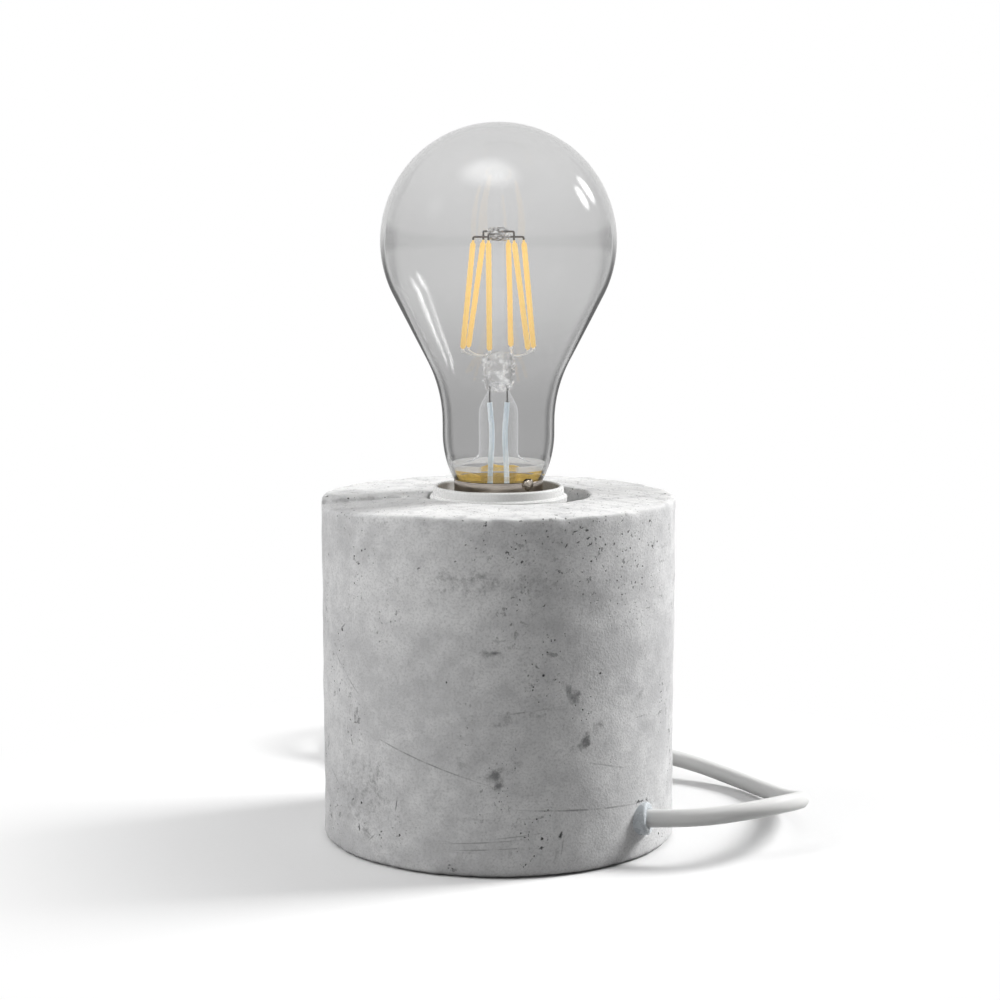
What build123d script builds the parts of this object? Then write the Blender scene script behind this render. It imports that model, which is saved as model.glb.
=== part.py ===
"""Concrete table lamp with a screw-in filament bulb, cord, in-line switch and plug.

Millimetres, +Z up.  The origin is the middle of the block's footprint on the table.
The front of the lamp looks towards -Y, and the cord leaves at its right.
"""

import math
import os

from build123d import *

# Concrete block
body_diameter = 106.0
body_height = 103.0
body_edge_round = 1.6
body_lift = 1.0
well_diameter = 49.0
well_offset_x = 3.0
well_offset_y = 1.2
well_depth = 55.0
web_thickness = 10.0
chamber_diameter = 68.0

# Casting step in the top face, front left
step_inset = 3.0
step_back_left = -2.0
step_back_right = 2.0
step_depth_left = 2.4
step_depth_right = 1.0
step_run = 24.0
step_front = 47.0
step_tip = 1.0

# Base plate, its fastenings and the feet
plate_diameter = 85.0
plate_thickness = 2.0
plate_setback = 0.4
plate_screw_circle = 77.0
plate_screw_count = 3
plate_screw_turn = 23.0
anchor_diameter = 5.6
anchor_length = 10.0
screw_diameter = 3.0
screw_length = 8.0
screw_head_diameter = 5.6
foot_diameter = 11.0
foot_circle = 66.0
foot_count = 4
foot_turn = -22.0
foot_round = 0.45

# Cord outlet and cord
cord_diameter = 5.2
cord_length_nominal = 1800.0
exit_turn = -37.0
exit_height = 12.0
exit_heading = -20.0
exit_rise = 5.0
sleeve_diameter = 9.6
sleeve_proud = 1.5
sleeve_inside = 6.2
sleeve_lip_round = 0.375
cord_past_clamp = 5.0
core_diameter = 2.2
core_spacing = 3.2
lead_first_run = 13.0
lead_last_straight = 5.0
run_first_straight = 7.0
core_offset_in_cord = 1.25
core_leave = 4.0
core_leave_bend = 2.6
core_rise_bend = 6.0
core_terminal_bend = 4.5
core_above_tube = 1.5
core_terminal_rise = 10.0

# Cord clamp inside the block
clamp_length = 10.0
clamp_width = 13.0
clamp_half_height = 5.0
clamp_screw_diameter = 2.2
clamp_screw_head = 3.8
clamp_screw_head_height = 1.6

# Threaded tube, nut and washer
nipple_diameter = 10.0
nipple_bore = 7.2
nipple_below_web = 7.0
nipple_above_web = 8.0
washer_diameter = 22.0
washer_thickness = 1.5
nut_across_flats = 14.0
nut_thickness = 4.0

# Lampholder
holder_proud = 2.6
holder_diameter = 39.3
holder_wall = 1.65
holder_rim_round = 0.6
ridge_diameter = 41.2
ridge_below_rim = 2.6
ridge_height = 2.4
holder_band_height = 4.0
holder_neck_diameter = 18.0
holder_cone_height = 8.0
holder_spigot_height = 6.0
holder_spigot_wall = 2.0
holder_floor_thickness = 1.0
grub_diameter = 3.0
carrier_floor = 8.0
carrier_top_below_rim = 7.0
shell_bore = 26.9
shell_wall = 0.5
shell_below_carrier = 0.5
terminal_length = 8.4
terminal_width = 6.0
terminal_height = 6.0
terminal_offset = 11.6
terminal_screw_offset = 3.5
terminal_screw_diameter = 2.6
terminal_screw_head = 4.2
terminal_screw_head_height = 1.4
terminal_screw_play = 0.5
terminal_roof = 1.0
rivet_diameter = 1.6
tongue_foot = 1.2
tongue_fold = 5.0
tongue_bulge = 0.6
tongue_return = 1.0
tongue_front = 3.5
tongue_height = 2.4
tongue_bend = 0.3
strip_thickness = 0.4
strip_width = 5.0

# Screw thread of bulb and holder
thread_pitch = 3.629
cap_bead_radius = 1.1
cap_bead_turns = 3.2
shell_bead_radius = 0.75
shell_bead_turns = 2.3

# Bulb
cap_proud = 2.2
cap_collar_diameter = 26.6
cap_collar_height = 5.5
cap_root_diameter = 24.0
cap_wall = 0.4
cap_thread_height = 14.5
cap_lip_height = 0.8
cap_insulator_height = 3.4
cap_contact_height = 1.2
cap_contact_diameter = 9.6
cap_contact_taper = 1.4
cap_contact_rim = 0.4
cap_rivet_diameter = 2.0
cap_lip_width = 2.2
cap_bend = 0.6
cap_bead_start = 1.43
insulator_margin = 0.4
insulator_inside = 2.0
cement_short = 0.6
globe_diameter = 69.8
globe_height = 70.2
glass_wall = 0.8
cone_angle = 27.3
flare_radius = 40.0
neck_diameter = 33.4
neck_height = 13.7
shoulder_radius = 31.0
glass_tail_diameter = 24.8
glass_tail_length = 5.6
stem_diameter = 12.0
stem_flare_height = 4.2
stem_flare_rise = 6.0
stem_top = 26.4
stem_wall = 0.8
flare_bow_in = 0.32
flare_bow_up = 0.36
pinch_width = 9.6
pinch_thickness = 4.6
pinch_height = 12.4
pinch_round = 1.5
rod_diameter = 3.2
hub_diameter = 6.4
hub_height = 4.5
hub_round = 1.1
hub_centre = 72.4
filament_count = 6
filament_diameter = 1.65
filament_top = 70.6
filament_bottom = 38.4
filament_top_radius = 7.5
filament_bottom_radius = 10.7
filament_top_angles = (7.0, 67.0, 127.0, 187.0, 247.0, 307.0)
filament_bottom_angles = (10.0, 69.0, 148.0, 189.0, 256.0, 325.0)
filament_wire_diameter = 0.6
filament_tip = 1.4
collector_wire_diameter = 0.8
collector_hold = 1.5
bridge_step = 0.8
bridge_bend = 0.45
lead_wire_diameter = 0.5
lead_sleeve_diameter = 1.6
lead_sleeve_below = 0.6
lead_sleeve_above_board = 0.6
lead_spread = 2.5
lead_bow = 0.7
lead_into_pinch = 1.5
lead_straight = 3.0
lead_bow_depth = 13.0
lead_foot = 1.5
board_thickness = 1.2
board_below_cap_top = 9.0
capacitor_diameter = 6.0
capacitor_length = 7.5
capacitor_round = 0.6
capacitor_x = 4.4
rectifier_length = 5.0
rectifier_width = 4.2
rectifier_height = 1.8
rectifier_y = 5.2
resistor_length = 3.4
resistor_width = 1.8
resistor_height = 0.8
resistor_x = 1.0
resistor_y = -6.0
inductor_diameter = 4.8
inductor_length = 4.0
inductor_x = -4.6
inductor_y = 2.0
solder_diameter = 2.6
solder_flatness = 0.6
solder_angle = -47.0

# In-line switch
switch_length = 62.0
switch_width = 22.0
switch_lower_height = 8.2
switch_upper_height = 8.8
switch_wall = 1.6
switch_end_round = 7.0
switch_edge_round = 2.0
switch_x = 13.0
switch_y = 66.0
rocker_length = 18.8
rocker_width = 10.8
rocker_tilt = 7.0
rocker_pivot_depth = 4.6
rocker_proud = 1.0
rocker_dip = 1.2
rocker_skirt = 3.4
trunnion_diameter = 2.6
trunnion_length = 2.4
switch_screw_diameter = 2.2
switch_screw_head = 4.0
switch_post_diameter = 5.0
switch_screw_x = 17.0
switch_screw_y = 6.2
switch_screw_head_height = 1.4
switch_head_seat = 0.6
cord_into_switch = 7.0
contact_x = 8.5
contact_width = 5.0
contact_length = 5.0
contact_thickness = 0.8
contact_height = 2.6
contact_upright_x = 6.4
contact_boss_width = 7.0
contact_boss_height = 1.6
cheek_length = 6.8
rocker_taper = 1.0
rocker_waist = 0.6
rocker_keel = 6.0
blade_length = 5.6
blade_width = 3.0
blade_thickness = 0.6
core_split = 1.2
core_through_y = 6.5
core_through_run = 11.0
core_landing_x = 14.0
core_end_x = 9.0
core_small_bend = 2.0
core_wide_bend = 3.0

# Coil of spare cord and its tie
coil_x = -13.0
coil_y = 123.0
coil_outer_radius = 42.0
coil_gap = 0.5
coil_turns_in = 3.25
coil_turns_out = 3.0
coil_climb_turns = 0.5
tie_width = 8.0
tie_thickness = 0.6
tie_slack = 0.6
tie_angle = -45.0

# Plug
plug_relief_length = 20.0
plug_relief_tip_diameter = 7.6
plug_relief_root_diameter = 11.0
plug_length = 26.0
plug_width = 34.0
plug_back_width = 17.0
plug_thickness = 13.0
plug_edge_round = 2.0
plug_relief_root = 3.0
pin_diameter = 4.0
pin_length = 19.0
pin_spacing = 18.6
pin_root = 7.0
pin_sleeve_diameter = 3.6
pin_sleeve_length = 9.0
pin_neck_diameter = 2.8
pin_tip_round = 1.0

# Clearances
slide_clearance = 0.1
fit_clearance = 0.2
running_clearance = 0.3
trunnion_clearance = 0.06
hairline_clearance = 0.02
overrun = 1.0

# Heights and radii that follow from the sizes above
body_radius = body_diameter / 2
plate_bottom = body_lift + plate_setback
plate_top = plate_bottom + plate_thickness
well_floor = body_height - well_depth
chamber_top = well_floor - web_thickness
holder_rim = body_height + holder_proud
holder_bore = holder_diameter / 2 - holder_wall
carrier_top = holder_rim - carrier_top_below_rim
carrier_radius = holder_bore - 2 * fit_clearance
shell_outer = shell_bore / 2 + shell_wall
cap_top = holder_rim + cap_proud
cap_thread_top = cap_top - cap_collar_height
cap_thread_bottom = cap_thread_top - cap_thread_height
cap_lip_bottom = cap_thread_bottom - cap_lip_height
cap_insulator_bottom = cap_lip_bottom - cap_insulator_height
cap_tip = cap_insulator_bottom - cap_contact_height
carrier_seat = cap_tip - tongue_height
spigot_top = carrier_seat - carrier_floor
holder_shoulder = spigot_top - holder_spigot_height
holder_cone_top = holder_shoulder - holder_band_height
holder_cone_base = holder_cone_top - holder_cone_height
cap_bead_bottom = cap_thread_bottom + cap_bead_start
shell_bead_bottom = cap_bead_bottom - thread_pitch / 2
board_top = cap_top - board_below_cap_top
board_radius = cap_root_diameter / 2 - cap_wall - fit_clearance
layer_pitch = cord_diameter + coil_gap
coil_low = tie_thickness + slide_clearance + cord_diameter / 2
coil_high = coil_low + layer_pitch
coil_inner_radius = coil_outer_radius - layer_pitch * coil_turns_in
coil_turns = coil_turns_in + coil_climb_turns + coil_turns_out
switch_height = switch_lower_height + switch_upper_height
rocker_pivot = switch_height - rocker_pivot_depth
switch_cord_end = switch_length / 2 - cord_into_switch

# The outlet's own frame: X along the cord as it leaves, origin on the block's face
exit_point = Vector(body_radius, 0, exit_height).rotate(Axis.Z, exit_turn)
outlet = Pos(*exit_point) * Rot(0, 0, exit_heading) * Rot(0, -exit_rise, 0)


def outlet_at(x, y=0.0, z=0.0):
    """A point of the outlet's frame, in the lamp's frame."""
    return (outlet * Pos(x, y, z)).position


# Length of the bore through the block's wall, from its face to the chamber
outlet_reach = exit_point.X * math.cos(math.radians(exit_heading))
outlet_reach += exit_point.Y * math.sin(math.radians(exit_heading))
wall_run = outlet_reach - math.sqrt(outlet_reach ** 2 - body_radius ** 2 + (chamber_diameter / 2) ** 2)
wall_run /= math.cos(math.radians(exit_rise))
sleeve_length = sleeve_proud + wall_run + sleeve_inside
clamp_start = sleeve_proud - sleeve_length - running_clearance - clamp_length
cord_end_inside = cord_past_clamp - clamp_start

# The lampholder's own frame is turned so that its Y axis points at the cord's inner end
cord_inner_end = outlet_at(-cord_end_inside)
holder_angle = math.degrees(math.atan2(cord_inner_end.Y, cord_inner_end.X)) - 90.0
holder_turn = Rot(0, 0, holder_angle)


def turned(*outline):
    """Solid of revolution about Z from (radius, height) corners."""
    return revolve(Plane.XZ * make_face(Polyline(*outline, close=True)), Axis.Z)


def ring(outer, inner, bottom, top):
    """Plain tube about Z between two heights."""
    return turned((inner, bottom), (outer, bottom), (outer, top), (inner, top))


def disc(radius, bottom, top):
    """Plain round bar about Z between two heights."""
    return Pos(0, 0, bottom) * extrude(Circle(radius), top - bottom)


def block(size_x, size_y, bottom, top, x=0.0, y=0.0):
    """Box about a point in plan, between two heights."""
    return Pos(x, y, bottom) * extrude(Rectangle(size_x, size_y), top - bottom)


def around(shape, count, radius, first_angle=0.0):
    """The same shape, drawn at the origin, at even steps round a circle."""
    return [Rot(0, 0, first_angle + 360 / count * k) * Pos(radius, 0, 0) * shape for k in range(count)]


def route_radii(points):
    """Largest arc for each corner of a cord's route: 0.45 of the shorter run over tan(half turn)."""
    radii = []
    for before, corner, after in zip(points, points[1:], points[2:]):
        run_in = Vector(*corner) - Vector(*before)
        run_out = Vector(*after) - Vector(*corner)
        half_turn = math.radians(run_in.get_angle(run_out) / 2)
        radii.append(0.45 * min(run_in.length, run_out.length) / math.tan(half_turn))
    return radii


def tube(points, diameter, radii=None):
    """Round bar along straight runs joined by tangent arcs."""
    if len(points) == 2:
        route = Line(*points)
    else:
        route = FilletPolyline(*points, radius=radii or route_radii(points))
    section = Plane(origin=route @ 0, z_dir=route % 0) * Circle(diameter / 2)
    return sweep(section, path=route)


def helical_bead(radius, bead_radius, bottom, turns):
    """Round bead wound right-handed about Z, for a rolled screw thread."""
    path = Pos(0, 0, bottom) * Helix(thread_pitch, thread_pitch * turns, radius)
    section = Plane(origin=path @ 0, z_dir=path % 0) * Circle(bead_radius)
    return sweep(section, path=path, is_frenet=True)


def report_cord(name, points, solid):
    """Print a cord's tightest arc, length and how its volume compares with section times length."""
    route = FilletPolyline(*points, radius=route_radii(points))
    section = math.pi * (cord_diameter / 2) ** 2
    radii = " ".join(f"{r:.1f}" for r in route_radii(points))
    ratio = solid.volume / (section * route.length)
    print(f"{name}: length {route.length:.1f}, radii {radii}, volume ratio {ratio:.4f}")
    return route.length


# Concrete block


def step_cut():
    """Wedge of the casting step: a straight back wall and a floor that rises to the front rim."""
    left = -(body_radius - step_inset)
    right = left + step_run
    low_left = Vector(left, step_back_left, body_height - step_depth_left)
    low_right = Vector(right, step_back_right, body_height - step_depth_right)
    front = Vector(right + step_tip, step_back_right - step_front, body_height)
    floor = Plane(origin=low_left, x_dir=low_right - low_left,
                  z_dir=(low_left - low_right).cross(front - low_right))
    slope = (step_back_right - step_back_left) / step_run
    far_left = (left - body_radius, step_back_left - slope * body_radius)
    near_right = (0.0, step_back_right - slope * right)
    plan = Polyline(far_left, near_right, (0.0, -body_diameter), (far_left[0], -body_diameter), close=True)
    prism = Pos(0, 0, body_height - 2 * step_depth_left) * extrude(make_face(plan), 4 * step_depth_left)
    return split(prism, bisect_by=floor, keep=Keep.TOP if floor.z_dir.Z > 0 else Keep.BOTTOM)


def concrete_body():
    block_body = disc(body_radius, body_lift, body_height)
    block_body = fillet(block_body.edges().filter_by(GeomType.CIRCLE), body_edge_round)
    well = Pos(well_offset_x, well_offset_y) * disc(well_diameter / 2, well_floor, body_height + body_lift)
    chamber = disc(chamber_diameter / 2, plate_bottom, chamber_top)
    plate_recess = disc(plate_diameter / 2 + fit_clearance, 0, plate_top)
    web_hole = disc(nipple_diameter / 2 + fit_clearance, chamber_top, well_floor)
    bore_length = sleeve_length + sleeve_diameter
    bore = outlet * Pos(-sleeve_length, 0, 0) * Rot(0, 90, 0) * extrude(
        Circle(sleeve_diameter / 2 + slide_clearance), bore_length)
    anchor_hole = disc(anchor_diameter / 2 + slide_clearance, plate_top, plate_top + anchor_length)
    anchor_holes = around(anchor_hole, plate_screw_count, plate_screw_circle / 2, plate_screw_turn)
    return block_body - well - chamber - plate_recess - web_hole - bore - anchor_holes - step_cut()


# Base plate, its fastenings and the feet


def plate_screw(bottom):
    """Countersunk screw standing upright, head down, flush with the given height."""
    sink = (screw_head_diameter - screw_diameter) / 2
    return turned((0, bottom), (screw_head_diameter / 2, bottom), (screw_diameter / 2, bottom + sink),
                  (screw_diameter / 2, bottom + screw_length), (0, bottom + screw_length))


def base_plate():
    plate = disc(plate_diameter / 2, plate_bottom, plate_top)
    hole = offset(plate_screw(plate_bottom), slide_clearance)
    return plate - around(hole, plate_screw_count, plate_screw_circle / 2, plate_screw_turn)


def plate_screws():
    return around(plate_screw(plate_bottom), plate_screw_count, plate_screw_circle / 2, plate_screw_turn)


def screw_anchors():
    anchor = ring(anchor_diameter / 2, screw_diameter / 2 + slide_clearance, plate_top,
                  plate_top + anchor_length)
    return around(anchor, plate_screw_count, plate_screw_circle / 2, plate_screw_turn)


def rubber_feet():
    foot = disc(foot_diameter / 2, 0, plate_bottom)
    foot = fillet(foot.edges().group_by(Axis.Z)[0], foot_round)
    return around(foot, foot_count, foot_circle / 2, foot_turn)


# Cord outlet, clamp and cores


def cord_sleeve():
    tube_wall = ring(sleeve_diameter / 2, cord_diameter / 2 + slide_clearance, 0, sleeve_length)
    lip = tube_wall.edges().filter_by(GeomType.CIRCLE).group_by(Axis.Z)[-1]
    tube_wall = fillet(lip, sleeve_lip_round)
    return outlet * Pos(sleeve_proud - sleeve_length, 0, 0) * Rot(0, 90, 0) * tube_wall


def cord_inner():
    return outlet * tube([(-cord_end_inside, 0, 0), (sleeve_proud, 0, 0)], cord_diameter)


clamp_screw_y = (clamp_width / 2 + cord_diameter / 2) / 2


def clamp_half(bottom, top):
    """One clamp half in the outlet's frame, with the groove for the cord and its two screw holes."""
    half = block(clamp_length, clamp_width, bottom, top, clamp_start + clamp_length / 2)
    groove = tube([(clamp_start - overrun, 0, 0), (clamp_start + clamp_length + overrun, 0, 0)],
                  cord_diameter)
    hole = disc(clamp_screw_diameter / 2 + slide_clearance, bottom - overrun, top + overrun)
    holes = [Pos(clamp_start + clamp_length / 2, side * clamp_screw_y) * hole for side in (-1, 1)]
    return half - groove - holes


def clamp_lower():
    return outlet * clamp_half(-clamp_half_height, -fit_clearance)


def clamp_upper():
    return outlet * clamp_half(fit_clearance, clamp_half_height)


def clamp_screws():
    shank = disc(clamp_screw_diameter / 2, -clamp_half_height, clamp_half_height)
    head = disc(clamp_screw_head / 2, clamp_half_height, clamp_half_height + clamp_screw_head_height)
    x = clamp_start + clamp_length / 2
    return [outlet * Pos(x, side * clamp_screw_y) * (shank + head) for side in (-1, 1)]


def core(side):
    """One insulated core, from the cord's end, up the threaded tube and out to its terminal."""
    start = outlet_at(-cord_end_inside, 0, side * core_offset_in_cord)
    leave = outlet_at(-cord_end_inside - core_leave, 0, side * core_offset_in_cord)
    up_tube = Vector(0, side * core_spacing / 2, 0).rotate(Axis.Z, holder_angle)
    to_terminal = Vector(0, side * terminal_offset, 0).rotate(Axis.Z, holder_angle)
    nipple_top = well_floor + nipple_above_web
    points = [start, leave, Vector(up_tube.X, up_tube.Y, leave.Z),
              Vector(up_tube.X, up_tube.Y, nipple_top + core_above_tube),
              Vector(to_terminal.X, to_terminal.Y, nipple_top + core_terminal_rise),
              Vector(to_terminal.X, to_terminal.Y, spigot_top + terminal_height / 2)]
    bends = [core_leave_bend, core_rise_bend, core_terminal_bend, core_terminal_bend]
    return tube([tuple(p) for p in points], core_diameter, radii=bends)


# Threaded tube, washer and nut


def threaded_tube():
    return ring(nipple_diameter / 2, nipple_bore / 2, chamber_top - nipple_below_web,
                well_floor + nipple_above_web)


def tube_washer():
    return ring(washer_diameter / 2, nipple_diameter / 2 + slide_clearance, chamber_top - washer_thickness,
                chamber_top)


def tube_nut():
    top = chamber_top - washer_thickness
    hexagon = RegularPolygon(nut_across_flats / 2, 6, major_radius=False)
    return Pos(0, 0, top - nut_thickness) * extrude(
        hexagon - Circle(nipple_diameter / 2 + slide_clearance), nut_thickness)


# Lampholder


def holder_cap():
    neck = holder_neck_diameter / 2
    bore = nipple_diameter / 2 + slide_clearance
    spigot = holder_bore - slide_clearance
    inner = spigot - holder_spigot_wall
    floor = well_floor + nipple_above_web + holder_floor_thickness
    shape = turned((bore, well_floor), (neck, well_floor), (neck, holder_cone_base), (holder_diameter / 2,
                                                                                      holder_cone_top),
                   (holder_diameter / 2, holder_shoulder), (spigot, holder_shoulder), (spigot, spigot_top),
                   (inner, spigot_top), (inner, holder_cone_top + holder_floor_thickness),
                   (neck - holder_floor_thickness, floor), (bore, floor))
    return shape - holder_turn * grub_hole(grub_diameter / 2 + slide_clearance)


def grub_hole(radius):
    """Round bar from the neck's face to the threaded tube, for the grub screw and its hole."""
    height = (well_floor + holder_cone_base) / 2
    return Pos(nipple_diameter / 2 + slide_clearance / 2, 0, height) * Rot(0, 90, 0) * extrude(
        Circle(radius), holder_neck_diameter / 2)


def grub_screw():
    whole = holder_turn * grub_hole(grub_diameter / 2)
    return whole & disc(holder_neck_diameter / 2 - fit_clearance, well_floor, holder_cone_base)


def holder_skirt():
    outer = holder_diameter / 2
    ridge = ridge_diameter / 2
    ridge_mid = holder_rim - ridge_below_rim
    tube_wall = ring(outer, holder_bore, holder_shoulder, holder_rim)
    rim = tube_wall.edges().filter_by(GeomType.CIRCLE).group_by(Axis.Z)[-1]
    tube_wall = fillet(rim, holder_rim_round)
    bead = turned((outer - holder_wall / 2, ridge_mid - ridge_height / 2), (outer,
                                                                            ridge_mid - ridge_height / 2),
                  (ridge, ridge_mid - ridge_height / 6), (ridge, ridge_mid + ridge_height / 6),
                  (outer, ridge_mid + ridge_height / 2), (outer - holder_wall / 2,
                                                          ridge_mid + ridge_height / 2))
    return tube_wall + bead


def terminal_block(side):
    """One terminal in its own frame: block with a core hole and a screw hole."""
    top = spigot_top + terminal_height
    body = block(terminal_length, terminal_width, spigot_top, top, terminal_screw_offset / 2,
                 side * terminal_offset)
    core_hole = disc(core_diameter / 2 + slide_clearance, spigot_top,
                     spigot_top + terminal_height / 2 + slide_clearance)
    screw_hole = disc(terminal_screw_diameter / 2 + slide_clearance, spigot_top, top - terminal_roof)
    return body - Pos(0, side * terminal_offset) * core_hole - Pos(
        terminal_screw_offset, side * terminal_offset) * screw_hole


def terminals():
    return [holder_turn * terminal_block(side) for side in (-1, 1)]


def terminal_screws():
    shank_top = spigot_top + terminal_height - terminal_roof - terminal_screw_play
    shank = disc(terminal_screw_diameter / 2, spigot_top, shank_top)
    head = disc(terminal_screw_head / 2, spigot_top - terminal_screw_head_height, spigot_top)
    return [holder_turn * Pos(terminal_screw_offset,
                              side * terminal_offset) * (shank + head) for side in (-1, 1)]


def rivet(side, foot):
    """Pin from a contact down to its terminal, through the carrier's floor."""
    top_of_block = spigot_top + terminal_height
    return Pos(0, side * foot) * disc(rivet_diameter / 2, top_of_block, carrier_seat)


shell_rivet_radius = shell_bore / 2 + shell_wall / 2


def contact_carrier():
    inside = shell_outer + fit_clearance
    cup = turned((0, spigot_top), (carrier_radius, spigot_top), (carrier_radius, carrier_top), (inside,
                                                                                                carrier_top),
                 (inside, carrier_seat), (0, carrier_seat))
    for side in (-1, 1):
        pocket = block(terminal_length + 2 * slide_clearance, terminal_width + 2 * slide_clearance,
                       spigot_top,
                       spigot_top + terminal_height, terminal_screw_offset / 2, side * terminal_offset)
        cup -= holder_turn * pocket
    cup -= holder_turn * offset(rivet(1, terminal_offset), slide_clearance)
    cup -= holder_turn * offset(rivet(-1, shell_rivet_radius), slide_clearance)
    return cup


def screw_shell():
    wall = ring(shell_outer, shell_bore / 2, carrier_seat, carrier_top - shell_below_carrier)
    bead = helical_bead(shell_bore / 2, shell_bead_radius, shell_bead_bottom, shell_bead_turns)
    bead &= disc(shell_outer - shell_wall / 4, carrier_seat, carrier_top)
    return wall + bead + holder_turn * rivet(-1, shell_rivet_radius)


def centre_contact():
    """Brass tongue under the bulb's tip: foot on the carrier, folded back and up to the tip."""
    low = carrier_seat + strip_thickness / 2
    high = cap_tip - running_clearance - strip_thickness / 2
    path = FilletPolyline((0, terminal_offset + tongue_foot, low), (0, -tongue_fold, low),
                          (0, -tongue_fold - tongue_bulge, (low + high) / 2), (0,
                                                                               tongue_return - tongue_fold,
                                                                               high),
                          (0, tongue_front, high), radius=tongue_bend)
    section = Plane(origin=path @ 0, x_dir=(1, 0, 0), z_dir=path % 0) * Rectangle(strip_width,
                                                                                  strip_thickness)
    strip = sweep(section, path=path, transition=Transition.RIGHT)
    return holder_turn * (strip + rivet(1, terminal_offset))


# Bulb cap and what is inside it


def bulb_cap():
    collar = cap_collar_diameter / 2
    root = cap_root_diameter / 2
    lip = root - cap_lip_width
    skin = cap_wall / 2
    shell = turned((collar - cap_wall, cap_top), (collar, cap_top), (collar, cap_thread_top + cap_bend),
                   (root, cap_thread_top - cap_bend), (root, cap_thread_bottom), (lip + cap_bend,
                                                                                  cap_lip_bottom),
                   (lip, cap_lip_bottom), (lip, cap_lip_bottom + cap_wall), (root - cap_wall,
                                                                             cap_thread_bottom + skin),
                   (root - cap_wall, cap_thread_top - cap_bend - skin),
                   (collar - cap_wall, cap_thread_top + cap_bend - skin))
    bead = helical_bead(root, cap_bead_radius, cap_bead_bottom, cap_bead_turns)
    bead -= disc(root - skin, cap_lip_bottom, cap_top)
    return shell + bead


def cap_insulator():
    seat = cap_root_diameter / 2 - cap_lip_width - slide_clearance
    foot = cap_contact_diameter / 2 + insulator_margin
    rivet_hole = cap_rivet_diameter / 2 + running_clearance
    top = cap_lip_bottom + insulator_inside
    return turned((rivet_hole, top), (seat, top), (seat, cap_lip_bottom - cap_wall), (foot,
                                                                                      cap_insulator_bottom),
                  (rivet_hole, cap_insulator_bottom))


def cap_contact():
    flange = cap_contact_diameter / 2
    rivet_radius = cap_rivet_diameter / 2
    seat = cap_insulator_bottom - running_clearance
    top = cap_lip_bottom + insulator_inside - running_clearance
    return turned((0, cap_tip), (flange - cap_contact_taper, cap_tip), (flange, seat - cap_contact_rim),
                  (flange, seat),
                  (rivet_radius, seat), (rivet_radius, top), (0, top))


def cap_cement():
    outer = cap_collar_diameter / 2 - cap_wall - hairline_clearance
    inner = glass_tail_diameter / 2 + hairline_clearance
    return ring(outer, inner, cap_top - glass_tail_length + cement_short, cap_top)


def cap_solder():
    half_height = solder_flatness * solder_diameter / 2
    blob = scale(Sphere(solder_diameter / 2), (solder_flatness, 1, solder_flatness))
    blob = Pos(cap_collar_diameter / 2, 0, cap_top - half_height) * blob
    core_bar = disc(cap_collar_diameter / 2 + hairline_clearance, cap_top - 2 * solder_diameter,
                    cap_top + solder_diameter)
    return Rot(0, 0, solder_angle) * (blob - core_bar)


def driver_board():
    return disc(board_radius, board_top - board_thickness, board_top)


def driver_components():
    under = board_top - board_thickness
    capacitor = disc(capacitor_diameter / 2, under - capacitor_length, under)
    capacitor = fillet(capacitor.edges().group_by(Axis.Z)[0], capacitor_round)
    rectifier = block(rectifier_length, rectifier_width, board_top, board_top + rectifier_height)
    resistor = block(resistor_length, resistor_width, board_top, board_top + resistor_height)
    inductor = disc(inductor_diameter / 2, under - inductor_length, under)
    return [Pos(capacitor_x, 0) * capacitor, Pos(0, rectifier_y) * rectifier,
            Pos(resistor_x, resistor_y) * resistor, Pos(inductor_x, inductor_y) * inductor]


def tip_lead():
    return tube([(0, 0, cap_lip_bottom + insulator_inside), (0, 0, board_top - board_thickness)],
                lead_wire_diameter)


# Bulb glass and stem


def glass_outline(inset, foot_height):
    """Half outline of the glass, a steady inset from its outside, as (radius, height) edges.

    Globe arc, tangent cone, concave flare, straight neck, then a convex shoulder in to the cap.
    """
    angle = math.radians(cone_angle)
    globe = globe_diameter / 2 - inset
    centre = cap_top + globe_height
    neck = neck_diameter / 2 - inset
    flare = flare_radius + inset
    shoulder = shoulder_radius - inset
    neck_bottom = cap_top + neck_height
    touch = (globe * math.cos(angle), centre - globe * math.sin(angle))
    flare_end_radius = neck + flare * (1 - math.cos(angle))
    flare_end = (flare_end_radius, touch[1] - (touch[0] - flare_end_radius) / math.tan(angle))
    flare_start = (neck, flare_end[1] - flare * math.sin(angle))
    flare_mid = (neck + flare * (1 - math.cos(angle / 2)), flare_start[1] + flare * math.sin(angle / 2))
    globe_mid_angle = (math.pi / 2 - angle) / 2
    globe_mid = (globe * math.cos(globe_mid_angle), centre + globe * math.sin(globe_mid_angle))

    def shoulder_at(height):
        return neck - shoulder + math.sqrt(shoulder ** 2 - (neck_bottom - height) ** 2)

    middle = (foot_height + neck_bottom) / 2
    foot = (shoulder_at(foot_height), foot_height)
    edges = [ThreePointArc((0, centre + globe), globe_mid, touch), Line(touch, flare_end),
             ThreePointArc(flare_end, flare_mid, flare_start), Line(flare_start, (neck, neck_bottom)),
             ThreePointArc((neck, neck_bottom), (shoulder_at(middle), middle), foot)]
    return edges, foot, (0, centre + globe)


def glass_solid(inset, foot_height):
    """The glass filled to its axis, down to the given height."""
    edges, foot, top = glass_outline(inset, foot_height)
    edges += [Line(foot, (0, foot_height)), Line((0, foot_height), top)]
    return revolve(Plane.XZ * make_face(edges), Axis.Z)


def glass_outside():
    return glass_solid(0, cap_top + slide_clearance)


def bulb_glass():
    tail = glass_tail_diameter / 2
    foot = cap_top + slide_clearance
    low = cap_top - glass_tail_length + slide_clearance
    outside = glass_outside() + disc(tail, low, foot + glass_wall)
    hollow = glass_solid(glass_wall, foot + glass_wall) + disc(tail - glass_wall, low, foot + 2 * glass_wall)
    return outside - hollow


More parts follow.
